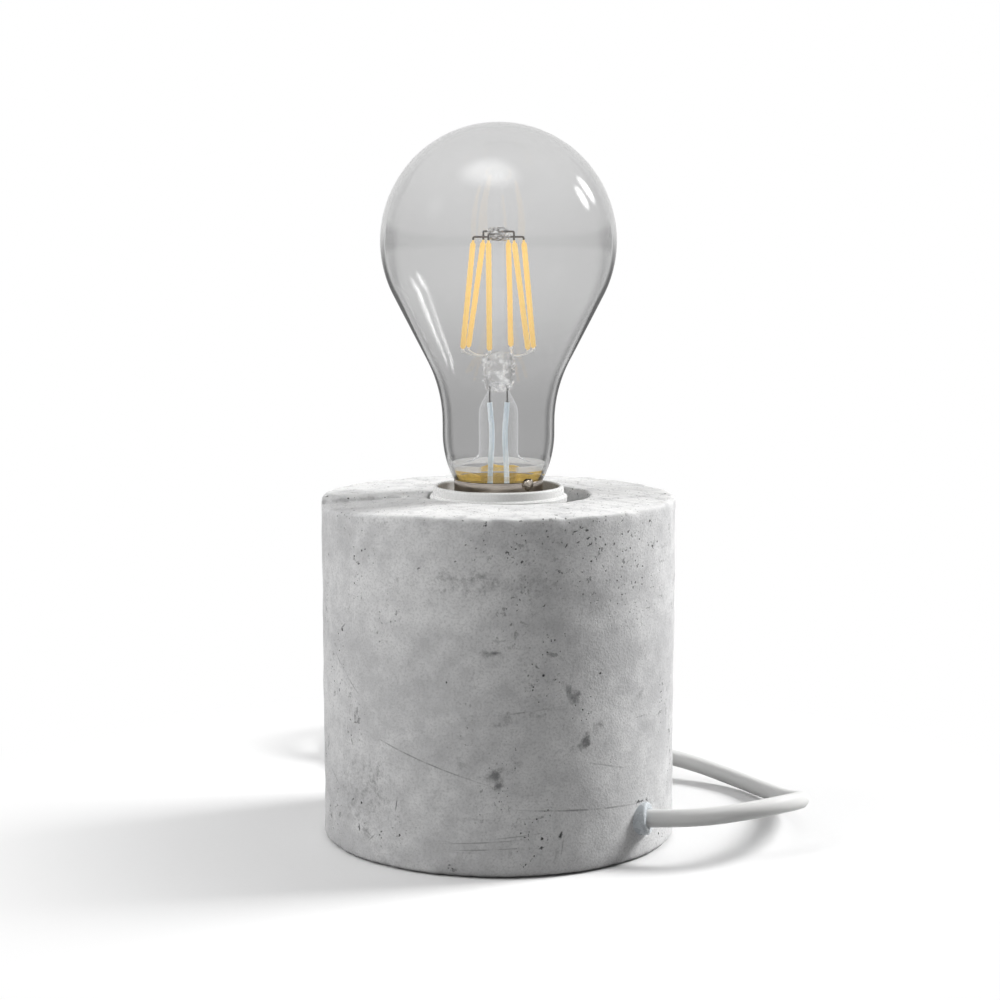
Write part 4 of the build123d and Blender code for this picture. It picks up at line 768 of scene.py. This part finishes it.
class LAMP_OT_lampholder(bpy.types.Operator):
    """White ring of the lampholder, with its grip ridge"""
    bl_idname = "lamp.lampholder"
    bl_label = "Lampholder"

    def execute(self, context):
        """A closed outline swings round the axis."""
        s = context.scene.lamp_holder
        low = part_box("holder_skirt")[0].z
        ridge_top = s.rim - s.drop
        ridge_low = ridge_top - s.ridge_height
        slope, draft = 0.0003, 0.0002
        corners = [(s.radius, low), (s.radius, ridge_low), (s.ridge, ridge_low + slope), (s.ridge, ridge_top - slope),
                   (s.radius, ridge_top), (s.radius - draft, s.rim), (s.bore, s.rim), (s.bore, low)]
        radii = [0.0003, 0.0002, 0.0006, 0.0006, 0.0003, 0.0007, 0.0006, 0.0003]
        white = moulded("holder_white", s.white, 0.28, 1800.0, 0.02, 0.00002)
        ring = lathe(rounded(corners, radii), 160, ring=True)
        put("lampholder_ring", [ring], white, "base", ["holder_skirt"])
        dress(white, "holder_cap")
        return {"FINISHED"}


def bulb_outline(s, inset):
    """The glass outline (r, z) from the tail up to the crown, drawn in by an inset: tail, shoulder arc, neck,
    hollow flare arc, straight cone that touches the globe, and the globe."""
    slant = 27.3
    cone = math.radians(slant)
    globe, neck, flare, shoulder = s.globe_radius - inset, s.neck - inset, s.flare + inset, s.shoulder - inset
    touch_r, touch_z = globe * math.cos(cone), s.globe_centre - globe * math.sin(cone)
    hollow_r = neck + flare * (1 - math.cos(cone))
    hollow_z = touch_z - (touch_r - hollow_r) / math.tan(cone)
    flare_z = hollow_z - flare * math.sin(cone)
    drop = math.degrees(math.asin((s.neck_bottom - s.foot) / s.shoulder))
    tail = straight(s.tail - inset, s.tail_bottom, s.foot - 0.0012, 2)
    draw = arc((neck - shoulder, s.neck_bottom), shoulder, -drop, 0, 16)
    hollow = arc((neck + flare, flare_z), flare, 180, 180 - slant, 20)
    ball = arc((0, s.globe_centre), globe, -slant, 90, 64)
    ball[-1, 0] = 0
    return np.vstack([tail, draw, hollow, ball])


def neck_band(s, gap, low, high):
    """A closed outline (r, z) of a thin band along the inner wall of the glass, a gap away from it."""
    inside = bulb_outline(s, s.wall + gap)
    band = inside[(inside[:, 1] > low) & (inside[:, 1] < high)]
    return np.vstack([band, (band - (0.0005, 0))[::-1]])


class LAMP_OT_bulb_glass(bpy.types.Operator):
    """Grey glass of the bulb, a shell with two walls"""
    bl_idname = "lamp.bulb_glass"
    bl_label = "Bulb Glass"

    def execute(self, context):
        """The inner outline runs down and the outer one up, and both swing round the axis."""
        s = context.scene.lamp_bulb
        profile = np.vstack([bulb_outline(s, s.wall)[::-1], bulb_outline(s, 0)])
        grey_glass = clear("grey_glass", s.tint, 290.0, deep=tuple(s.deep))
        put("bulb_glass_shell", [lathe(profile, 144)], grey_glass, "bulb", ["bulb_glass"], 60)
        return {"FINISHED"}


class LAMP_OT_bulb_stem(bpy.types.Operator):
    """Clear glass stem: flared tube, pinch, rod and hub"""
    bl_idname = "lamp.bulb_stem"
    bl_label = "Bulb Stem"

    def execute(self, context):
        """Flare, tube, rod and seal are turned; pinch and hub are rippled closed forms."""
        s = context.scene.lamp_bulb
        # The stem takes no light up; its haze of 62 is a painted glow that lightens the stem.
        glass = clear("stem_glass", grey(0.99), 0.0, 62.0, 0.00004, 300.0, 1.01)
        put("bulb_stem_glass", [self.tube(), self.bar()], glass, "bulb", ["bulb_stem"], 60)
        put("stem_pinch", [self.pinch(), self.hub()], crackled_glass(), "bulb", (), 60)
        seal = lathe(neck_band(s, 0.00015, 0.1106, 0.1132), 96, ring=True)
        put("seal_ring", [seal], frosted_seal(), "bulb")
        return {"FINISHED"}

    def tube(self):
        """A flare that widens downwards, a tube and a bottle neck, closed at the top, with an inner wall."""
        wall, radius = 0.0007, 0.006
        flare = arc((0.0125, 0.1155), 0.0035, -90, -180, 10)
        flare[:, 0] = radius + (flare[:, 0] - 0.009) * 2.4
        neck = np.linspace(0, 1, 14)[:, None]
        bottle = np.hstack([radius - 0.0032 * smooth(neck, 0, 1), 0.1275 + 0.0090 * neck])
        skin = np.vstack([flare, bottle, [(0.0016, 0.1370), (0, 0.1371)]])
        inner = skin[::-1] - (wall, 0)
        inner[:, 0] = np.maximum(inner[:, 0], 0)
        inner[:2] = ((0, 0.1362), (0.0012, 0.1361))
        return lathe(np.vstack([inner, skin]), 56)

    def bar(self):
        """A thin hollow rod with slow waves along it."""
        height = np.linspace(0.1456, 0.179, 30)
        edge = np.stack([0.0016 + 0.00006 * np.sin(height * 900), height], -1)
        return lathe(np.vstack([edge, (edge - (0.0004, 0))[::-1]]), 28, ring=True)

    def pinch(self):
        """A flattened bar: a rounded oblong section, full in the middle of its height, times ripples."""
        rows, swing = np.linspace(0, 1, 44)[:, None], swings(56)[None]
        swell = np.sqrt(np.maximum(1 - (2 * rows - 1) ** 8, 0.02))
        ripple = 1 + 0.08 * np.sin(9 * rows * math.pi) * np.cos(2 * swing) + 0.06 * np.sin(5 * swing + 14 * rows)
        ripple = ripple * (0.86 + 0.16 * rows) + 0.04 * np.sin(11 * swing - 31 * rows)
        wide, deep = (np.sign(v) * np.abs(v) ** 0.7 * half * swell * ripple
                      for v, half in ((np.cos(swing), 0.0048), (np.sin(swing), 0.0023)))
        return surface(grid_of(wide, deep, 0.1336 + 0.0122 * rows), False, (0, 0, 0.1334), (0, 0, 0.1460))

    def hub(self):
        """A flat bead whose radius goes up and down round it."""
        lift, swing = np.linspace(0, 1, 26)[1:-1, None], swings(56)[None]
        bead = np.sqrt(1 - (2 * lift - 1) ** 4) * 0.0032
        bead = bead * (1 + 0.08 * np.sin(3 * swing + 5 * lift) + 0.06 * np.sin(7 * swing - 9 * lift))
        bead = grid_of(bead * np.cos(swing), bead * np.sin(swing), 0.17795 + 0.0045 * lift)
        return surface(bead, False, (0, 0, 0.1779), (0, 0, 0.1825))


class LAMP_OT_filaments(bpy.types.Operator):
    """Six coated bars that narrow at both ends, and the wires that carry them"""
    bl_idname = "lamp.filaments"
    bl_label = "Filaments"

    def execute(self, context):
        """Each bar follows a straight line from its foot on a wide ring to its head on a narrow one; each foot wire
        sags from an ear of the pinch to a foot, where a knot holds it."""
        s = context.scene.lamp_bulb
        low = self.ring((10, 69, 148, 189, 256, 325), 0.0107, 0.1462)
        high = self.ring((7, 67, 127, 187, 247, 307), 0.0075, 0.1784)
        share = np.linspace(0, 1, 60)[:, None]
        end = np.minimum(share, 1 - share)[:, 0]
        thick = s.filament / 2 * (0.45 + 0.55 * smooth(end, 0.018, 0.03)) * (1 + 0.03 * np.sin(share[:, 0] * 90))
        bars = [rod(between(a, b, share), thick, 18) for a, b in zip(low, high)]
        nodes = [f"led_filament_{k}" for k in range(1, 7)]
        put("bar_filaments", bars, filament_coat(s.amber), "bulb", nodes)
        dress(metal("dull_wire", (0.20, 0.19, 0.18), 0.38), "filament_bridges", "lead_wires", "tip_lead")
        up = np.array((0, 0, 1))
        bend = np.linspace(0, 1, 14)[:, None]
        sag = np.sin(math.pi * bend) * -0.0006 * up
        ears = [np.array((math.copysign(0.0042, foot[0]), 0.0, 0.1447)) for foot in low]
        lines = [rod(between(ear, foot - 0.0002 * up, bend) + sag, 0.00024, 10, up) for ear, foot in zip(ears, low)]
        lump = 0.00055 * np.sin(np.linspace(0.4, 2.7, 9))
        knots = [rod(foot + np.linspace(-0.0006, 0.0007, 9)[:, None] * up, lump, 12) for foot in low]
        # The foot wires get a painted glow of 0.3, standing in for their bright highlights.
        bright = metal("bright_wire", (0.90, 0.89, 0.87), 0.4, glow=0.3)
        put("foot_wires", lines + knots, bright, "bulb", ["filament_collectors"])
        dress(wire_sleeve(), "lead_sleeves")
        return {"FINISHED"}

    def ring(self, degrees, radius, height):
        """Points at angles on a level circle round the axis."""
        angle = np.radians(degrees)
        return grid_of(radius * np.cos(angle), radius * np.sin(angle), height)


class LAMP_OT_bulb_cap(bpy.types.Operator):
    """Screw cap with its rolled thread, cement and solder"""
    bl_idname = "lamp.bulb_cap"
    bl_label = "Bulb Cap"

    def execute(self, context):
        """The cap is a wound surface, the cement a band with a wavy upper edge, the solder a lump."""
        s = context.scene.lamp_bulb
        nickel = metal("cap_nickel", (0.43, 0.385, 0.345), 0.16, (500, 500, 5000), 0.55)
        put("screw_cap", [self.thread(s)], nickel, "bulb", ["bulb_cap"], 50)
        amber = amber_cement()
        dress(amber, "cap_cement")
        rows, turn = turned(neck_band(s, 0.0001, 0.1072, 0.1107), 120), swings(120)
        rows[..., 2] += 0.0003 * smooth(rows[..., 2], 0.1090, 0.1105) * (np.sin(5 * turn) + np.sin(11 * turn + 1))
        put("cement_band", [surface(rows, ring=True)], amber, "bulb")
        tin = metal("solder_tin", (0.40, 0.36, 0.31), 0.2, (600, 600, 600), 0.25, 0.0002)
        put("solder_lump", [self.solder()], tin, "bulb", ["cap_solder"], 60)
        dress(moulded("black_insulator", (0.02, 0.02, 0.022), 0.2), "cap_insulator")
        dress(metal("cap_brass", (0.62, 0.42, 0.18), 0.3), "cap_contact")
        return {"FINISHED"}

    def thread(self, s):
        """The cap's radius is the thread root plus a rounded ridge that climbs one pitch a turn, and a collar."""
        columns, sheet, tip = 140, 0.0004, 0.0100
        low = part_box("bulb_cap")[0].z
        start, stop = 0.0878, 0.1023
        z, swing = np.linspace(start, s.cap_top, 110)[:, None], swings(columns)[None]
        wave = 0.5 + 0.5 * np.cos(TAU * z / s.pitch - swing)
        window = smooth(z, start, start + 0.002) * (1 - smooth(z, stop - 0.002, stop))
        r = s.cap_root + 0.0011 * wave ** 1.3 * window
        r = r + (s.cap_collar - s.cap_root) * smooth(z, stop, stop + 0.0008)
        r = r - 0.0003 * smooth(z, s.cap_top - 0.0005, s.cap_top)
        skin = grid_of(r * np.cos(swing), r * np.sin(swing), z)
        flat = turned([(tip, low), (0.0112, low + sheet), (s.cap_root, start - sheet)], columns)
        root = s.cap_root - sheet
        inside = turned([(s.cap_collar - 0.0006, s.cap_top), (s.tail + 0.0002, stop), (root, stop - 0.001),
                         (root, start), (tip, low + sheet)], columns)
        return surface(np.vstack([flat, skin, inside]), ring=True)

    def solder(self):
        """An egg shape with slow ripples, turned to lie along the cap's rim."""
        half, ring, height = np.array((0.0012, 0.0021, 0.0018)), 0.0131, 0.1070
        tall, around = np.linspace(0, math.pi, 18)[1:-1, None], swings(28)[None]
        lump = 1 + 0.10 * np.sin(3 * around + 2 * tall) + 0.07 * np.sin(5 * around - 4 * tall)
        egg = grid_of(np.sin(tall) * np.cos(around), np.sin(tall) * np.sin(around), -np.cos(tall))
        swing = math.radians(-50)
        cos, sin = math.cos(swing), math.sin(swing)
        spin = np.array(((cos, sin, 0), (-sin, cos, 0), (0, 0, 1)))
        middle = np.array((ring * cos, ring * sin, height))
        pole = np.array((0, 0, half[2]))
        return surface(egg * half * lump[..., None] @ spin + middle, False, middle - pole, middle + pole)


# The put-away coil's centre
COIL_CENTRE = np.array((-0.013, 0.123, 0))


class LAMP_OT_cords(bpy.types.Operator):
    """Cord from the outlet to the switch, and the spare cord in its coil"""
    bl_idname = "lamp.cords"
    bl_label = "Cords"

    def execute(self, context):
        """Open splines through the route's points; the coil winds in, climbs a layer and winds out."""
        s = context.scene.lamp_cord
        white = moulded("cord_white", s.white, 0.38, 1300.0, 0.03, 0.00002)
        lead = ((43.7319, -32.4073, 12.1307), (55.9014, -36.8366, 13.2638), (70.6, -35.9, 15.0), (83.0, -28.0, 15.2),
                (90.2, -15.0, 13.0), (91.6, 0.4, 9.2), (90.0, 17.8, 4.8), (84.6, 36.2, 2.9), (75.4, 51.6, 3.4),
                (63.2, 61.6, 5.8), (49, 66, 8.2), (37, 66, 8.2))
        run = ((-11, 66, 8.2), (-25, 66, 8.2), (-38.6, 70.2, 6.2), (-48.8, 79.8, 4.5), (-53.9, 92.5, 3.6),
               (-55, 105.2, 3.3), (-55, 117.8, 3.3))
        tail = ((-18.2, 82.425, 9.0), (-33.8, 82.425, 9.0), (-47.3, 90.2, 10.6), (-55.1, 103.7, 13.0),
                (-55.1, 119.3, 15.4), (-47.3, 132.8, 17.6), (-33.8, 140.6, 18.6), (-18.2, 140.6, 18.6))
        first = self.spline(s, "lead_cord", np.array(lead) / 1000, white, "cord_lead")
        spare = np.vstack([np.array(run) / 1000, self.coil(s), np.array(tail) / 1000])
        second = self.spline(s, "spare_cord", spare, white, "cord_run", "cord_coil", "cord_tail")
        dress(white, "cord_inner")
        return {"FINISHED"}

    def coil(self, s):
        """Points on a spiral whose radius falls by a pitch a turn, and after a climb of half a turn rises again.
        The radius is widened, because the spline cuts inside its points."""
        inward, rise, outward, lowest = 3.25, 0.5, 3.0, 0.0033
        turns = np.arange(1, round((inward + rise + outward) * s.coil_points)) / s.coil_points
        climb = np.clip((turns - inward) / rise, 0, 1)
        wound = s.coil_radius - s.coil_pitch / TAU * np.sin(math.pi * climb)
        wound = wound + s.coil_pitch * (np.maximum(inward - turns, 0) + np.maximum(turns - inward - rise, 0))
        wound = wound / math.cos(math.pi / s.coil_points)
        angle = math.pi - TAU * turns
        height = lowest + s.coil_pitch * (climb - np.sin(TAU * climb) / TAU)
        return COIL_CENTRE + grid_of(wound * np.cos(angle), wound * np.sin(angle), height)

    def spline(self, s, name, points, finish, *nodes):
        """One open smooth spline with the points as its control points, and a round bevel."""
        curve = bpy.data.curves.new(name, "CURVE")
        curve.dimensions = "3D"
        curve.bevel_depth = s.diameter / 2
        curve.bevel_resolution = 5
        curve.resolution_u = 6
        curve.use_fill_caps = True
        line = curve.splines.new("NURBS")
        line.points.add(len(points) - 1)
        line.points.foreach_set("co", np.column_stack([points, np.ones(len(points))]).ravel())
        line.order_u = 3
        line.use_endpoint_u = True
        line.use_smooth = True
        curve.materials.append(finish)
        obj = link(name, curve)
        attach(obj, "base")
        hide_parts(*nodes)
        return obj


class LAMP_OT_outlet(bpy.types.Operator):
    """Clear sleeve where the cord leaves the block"""
    bl_idname = "lamp.outlet"
    bl_label = "Outlet Sleeve"

    def execute(self, context):
        """A tube with round lips swings round the cord's own line at the outlet."""
        s = context.scene.lamp_cord
        origin, along = (0.04233, -0.0319, 0.012), (0.936117, -0.340719, 0.087156)
        bore, back = s.diameter / 2 + 0.00015, -0.0175
        corners = [(s.sleeve, back), (s.sleeve, s.proud), (bore, s.proud), (bore, back)]
        tube = lathe(rounded(corners, [0.0003, 0.0007, 0.0005, 0.0003]), 64, origin, along, ring=True)
        put("outlet_sleeve", [tube], milky_sleeve(), "base", ["cord_sleeve"])
        return {"FINISHED"}


class LAMP_OT_coil_tie(bpy.types.Operator):
    """Band that holds the coil together"""
    bl_idname = "lamp.coil_tie"
    bl_label = "Coil Tie"

    def execute(self, context):
        """A flat rounded section is carried along a rounded loop that stands square across the coil."""
        s = context.scene.lamp_cord
        low, high = (corner.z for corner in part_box("coil_tie"))
        inner, outer, thick, half = 0.0193, 0.0453, 0.0008, s.tie_width / 2
        loop = rounded([(outer, low), (outer, high), (inner, high), (inner, low)], [0.0046] * 4, 14)
        tangent = np.roll(loop, -1, 0) - np.roll(loop, 1, 0)
        tangent /= np.linalg.norm(tangent, axis=1, keepdims=True)
        normal = np.stack([tangent[:, 1], -tangent[:, 0]], -1)
        section = rounded([(0, -half), (-thick, -half), (-thick, half), (0, half)], [0.00025] * 4, 4)
        place = loop[None] + section[:, :1, None] * normal[None]
        swing = math.radians(-45)
        out = np.array((math.cos(swing), math.sin(swing), 0))
        side = np.array((-math.sin(swing), math.cos(swing), 0))
        grid = place[..., :1] * out + section[:, 1, None, None] * side + place[..., 1:] * (0, 0, 1) + COIL_CENTRE
        put("coil_band", [surface(grid, ring=True)], tie_band(s.band), "base", ["coil_tie"], 50)
        return {"FINISHED"}


class LAMP_OT_switch_and_plug(bpy.types.Operator):
    """Switch on the cord and plug at its end"""
    bl_idname = "lamp.switch_and_plug"
    bl_label = "Switch and Plug"

    def execute(self, context):
        """The moulded shells keep their CAD shapes and get grained finishes."""
        s = context.scene.lamp_fittings
        dress(moulded("switch_white", s.white, 0.42, 2400.0, 0.03, 0.00006), "switch_lower", "switch_upper")
        dress(moulded("rocker_white", s.white, 0.25, 2600.0, 0.02, 0.000006), "switch_rocker")
        dress(moulded("plug_white", s.white, 0.45, 2200.0, 0.03, 0.00006), "plug_body")
        dress(metal("pin_nickel", (0.74, 0.73, 0.71), 0.22, (4000, 500, 500)), "plug_pins")
        dress(moulded("pin_sleeve", (0.71, 0.71, 0.70), 0.4), "pin_sleeves")
        return {"FINISHED"}


class LAMP_OT_underside(bpy.types.Operator):
    """Base plate and the rubber feet; the plate's screws are finished with the inner pieces"""
    bl_idname = "lamp.underside"
    bl_label = "Underside"

    def execute(self, context):
        """The CAD shapes stay and get painted and rubber finishes."""
        s = context.scene.lamp_fittings
        dress(moulded("plate_paint", s.plate, 0.55, 1500.0, 0.2, 0.00008), "base_plate")
        dress(moulded("foot_rubber", s.rubber, 0.8, 1800.0, 0.25, 0.0001), "rubber_feet")
        return {"FINISHED"}


class LAMP_OT_inside(bpy.types.Operator):
    """Finishes of the pieces inside the block, the lampholder, the bulb's cap and the switch"""
    bl_idname = "lamp.inside"
    bl_label = "Inner Pieces"

    def execute(self, context):
        """Each group of CAD nodes gets the finish of its real material."""
        dress(metal("zinc_plate", (0.60, 0.61, 0.62), 0.34), "plate_screws", "clamp_screws", "threaded_tube",
              "tube_washer", "tube_nut", "grub_screw", "terminal_screws", "switch_screws")
        dress(metal("bright_brass", (0.66, 0.46, 0.20), 0.3), "screw_anchors", "screw_shell", "centre_contact",
              "terminals", "rocker_blade", "switch_contacts")
        dress(moulded("clamp_grey", (0.62, 0.62, 0.60), 0.5), "clamp_lower", "clamp_upper")
        dress(moulded("brown_core", (0.12, 0.05, 0.02), 0.4), "core_brown", "switch_cores")
        dress(moulded("blue_core", (0.02, 0.09, 0.32), 0.4), "core_blue")
        dress(moulded("white_ceramic", (0.74, 0.73, 0.69), 0.22, 900.0), "contact_carrier")
        dress(moulded("board_green", (0.02, 0.14, 0.05), 0.35), "driver_board")
        dress(moulded("component_black", (0.02, 0.02, 0.022), 0.4), "driver_components")
        return {"FINISHED"}


class LAMP_OT_stage(bpy.types.Operator):
    """Camera, floor and soft studio light"""
    bl_idname = "lamp.stage"
    bl_label = "Stage"

    def execute(self, context):
        """The camera looks along the photograph's line; the floor fades to white away from the lamp."""
        scene, s = context.scene, context.scene.lamp_stage
        camera = scene.camera = link("camera", bpy.data.cameras.new("camera"))
        camera.data.lens = s.lens
        camera.data.sensor_width = 36
        camera.data.shift_x = s.shift
        camera.location = (0, -s.back, s.height)
        camera.rotation_euler = (math.pi / 2 - s.tilt, 0, 0)
        swing, radius = swings(96)[None], np.array((3.0, 1.2, 0.6, 0.3))[:, None]
        disc = grid_of(radius * np.cos(swing), radius * np.sin(swing), 0.0)
        floor = link("floor", mesh_of("floor", *surface(disc, False, None, (0, 0, 0))))
        floor.data.materials.append(self.floor_paint())
        self.lamp("overhead", s.overhead, 0.9, (-0.15, 0.05, 1.1))
        self.lamp("key", s.key, 0.42, (1.075, 0.345, 0.75))
        self.lamp("fill", s.fill, 0.7, (-0.72, -0.24, 0.58))
        self.card("ceiling_card", (1.3, 0.85), (-0.13, -0.36, 1.2), 4.0)
        self.card("side_card", (0.6, 0.6), (-1.0, -0.35, 0.72), 1.4)
        self.card("near_pane", (0.24, 0.46), (1.10, 0.30, 0.75), 13.0)
        self.card("far_pane", (0.24, 0.46), (0.98, 0.58, 0.75), 13.0)
        self.wall("dark_wall", 1.6, (0, 360), 0.42, self.dusk)
        for name, span in (("right_flag", (50, 82)), ("left_flag", (98, 130))):
            self.wall(name, 0.55, span, 0.40, self.flag).visible_transmission = True
        self.sky(scene, s.ambient)
        scene.view_settings.view_transform = "Standard"
        return {"FINISHED"}

    def seen(self, graph):
        """1 for camera, glossy and transmission rays."""
        path = graph.add("LightPath", {}).outputs
        return graph.most(path[f"Is {ray} Ray"] for ray in ("Camera", "Glossy", "Transmission"))

    def floor_paint(self):
        """Pale matte paint with a faint tooth; far from the lamp it gives way to plain white."""
        paint = Finish("floor_paint", grey(0.86), 0.9)
        pale = paint.mix(paint.noise(700.0), grey(0.85), grey(0.88))
        bounce = paint.add("LightPath", {}).outputs["Is Diffuse Ray"]
        paint.set(Base_Color=paint.mix(bounce, pale, grey(0.27)))
        share = paint.times(paint.fade(paint.reach(paint.place), 0.06, 0.20), self.seen(paint))
        glow = paint.add("Emission", {"Color": WHITE, "Strength": 1.0})
        blend = paint.add("MixShader", {0: share, 1: paint.shader.outputs[0], 2: glow.outputs[0]})
        return paint.show(blend).material

    def sky(self, scene, ambient):
        """White to the camera, gloss and glass; an even weaker light on everything else."""
        world = scene.world = bpy.data.worlds.new("studio")
        world.use_nodes = True
        graph = Graph(world.node_tree)
        even, white = graph.first("BACKGROUND"), graph.add("Background", {"Color": WHITE, "Strength": 1.0})
        even.inputs["Color"].default_value = WHITE
        even.inputs["Strength"].default_value = ambient
        blend = graph.add("MixShader", {0: self.seen(graph), 1: even.outputs[0], 2: white.outputs[0]})
        graph.feed(graph.first("OUTPUT_WORLD").inputs["Surface"], blend.outputs[0])

    def aim(self, obj, place, height):
        """Sets an object at a place and turns it to look at a height on the lamp's axis."""
        obj.location = place
        obj.rotation_euler = (Vector((0, 0, height)) - Vector(place)).to_track_quat("-Z", "Y").to_euler()

    def lamp(self, name, power, size, place):
        """A square soft light that looks at the block; gloss and glass show the cards in its place."""
        light = bpy.data.lights.new(name, "AREA")
        light.energy = power
        light.size = size
        obj = link(name, light)
        obj.visible_glossy = obj.visible_transmission = False
        self.aim(obj, place, 0.1)

    def unlit(self, name, mesh, strength):
        """A stage piece that gives light by a strength from nodes, and that only reflections show."""
        paint = Finish(name, grey(0), 1.0)
        paint.show(paint.add("Emission", {"Color": WHITE, "Strength": strength(paint)}))
        mesh.materials.append(paint.material)
        obj = link(name, mesh)
        for ray in ("camera", "diffuse", "transmission", "volume_scatter", "shadow"):
            setattr(obj, "visible_" + ray, False)
        return obj

    def card(self, name, size, place, strength):
        """A bright card with soft edges that looks at the bulb and shows in gloss and glass alone."""
        wide, high = size[0] / 2, size[1] / 2
        corners = np.array([(-wide, -high, 0), (wide, -high, 0), (wide, high, 0), (-wide, high, 0)])

        def falloff(paint):
            """Full strength in the middle and plain white at the edges."""
            return paint.fade(paint.reach(paint.stretched((1 / wide, 1 / high, 1))), 0.2, 1.0, strength, 1.0)
        obj = self.unlit(name, mesh_of(name, corners, [np.arange(4)[None]]), falloff)
        obj.visible_transmission = True
        self.aim(obj, place, 0.17)

    def wall(self, name, radius, span, top, strength):
        """A dark upright wall on an arc round the lamp that shows in gloss alone, as flags do in a studio."""
        swing, level = np.radians(np.linspace(*span, 97))[None], np.linspace(0, top, 3)[:, None]
        grid = grid_of(radius * np.cos(swing), radius * np.sin(swing), level)
        index = np.arange(grid.size // 3).reshape(grid.shape[:2])
        quads = np.stack([index[:-1, :-1], index[:-1, 1:], index[1:, 1:], index[1:, :-1]], -1).reshape(-1, 4)
        return self.unlit(name, mesh_of(name, grid.reshape(-1, 3), [quads]), strength)

    def dusk(self, paint):
        """Dark half way up a wall and white towards its top and foot."""
        off = paint.math("ABSOLUTE", paint.plus(paint.axes()[2], -0.20))
        return paint.fade(off, 0.06, 0.20, 0.25, 1.0)

    def flag(self, paint):
        """Dark in the middle of a flag and white towards its edges."""
        dark = 0.22
        axes = paint.axes()
        aside = paint.math("ABSOLUTE", axes[0])
        return paint.most((paint.fade(aside, 0.085, 0.14, 1.0, dark), paint.fade(aside, 0.26, 0.34, dark, 1.0),
                           paint.fade(axes[2], 0.10, 0.21, dark, 1.0)))


OPERATORS = (
    LAMP_OT_stage, LAMP_OT_cords, LAMP_OT_outlet, LAMP_OT_concrete_block, LAMP_OT_lampholder, LAMP_OT_bulb_glass,
    LAMP_OT_bulb_stem, LAMP_OT_filaments, LAMP_OT_bulb_cap, LAMP_OT_coil_tie, LAMP_OT_switch_and_plug,
    LAMP_OT_underside, LAMP_OT_inside,
)
SETTINGS = {
    "lamp_block": BlockSettings, "lamp_holder": HolderSettings, "lamp_bulb": BulbSettings,
    "lamp_cord": CordSettings, "lamp_fittings": FittingSettings, "lamp_stage": StageSettings,
}


class LAMP_PT_sidebar(bpy.types.Panel):
    """Lists the steps that build the lamp"""
    bl_idname = "LAMP_PT_sidebar"
    bl_label = "Concrete Table Lamp"
    bl_space_type = "VIEW_3D"
    bl_region_type = "UI"
    bl_category = "Lamp"

    def draw(self, context):
        """One button for each step."""
        for operator in OPERATORS:
            self.layout.operator(operator.bl_idname)


def register():
    """Registers settings, steps and panel."""
    for name, group in SETTINGS.items():
        bpy.utils.register_class(group)
        setattr(bpy.types.Scene, name, PointerProperty(type=group))
    for cls in (*OPERATORS, LAMP_PT_sidebar):
        bpy.utils.register_class(cls)


def unregister():
    """Takes panel, steps and settings out again."""
    for cls in (LAMP_PT_sidebar, *reversed(OPERATORS)):
        bpy.utils.unregister_class(cls)
    for name, group in SETTINGS.items():
        delattr(bpy.types.Scene, name)
        bpy.utils.unregister_class(group)


def main():
    """Runs every step in order."""
    register()
    for operator in OPERATORS:
        group, name = operator.bl_idname.split(".")
        getattr(getattr(bpy.ops, group), name)()
    bpy.context.view_layer.update()


if __name__ == "__main__":
    main()
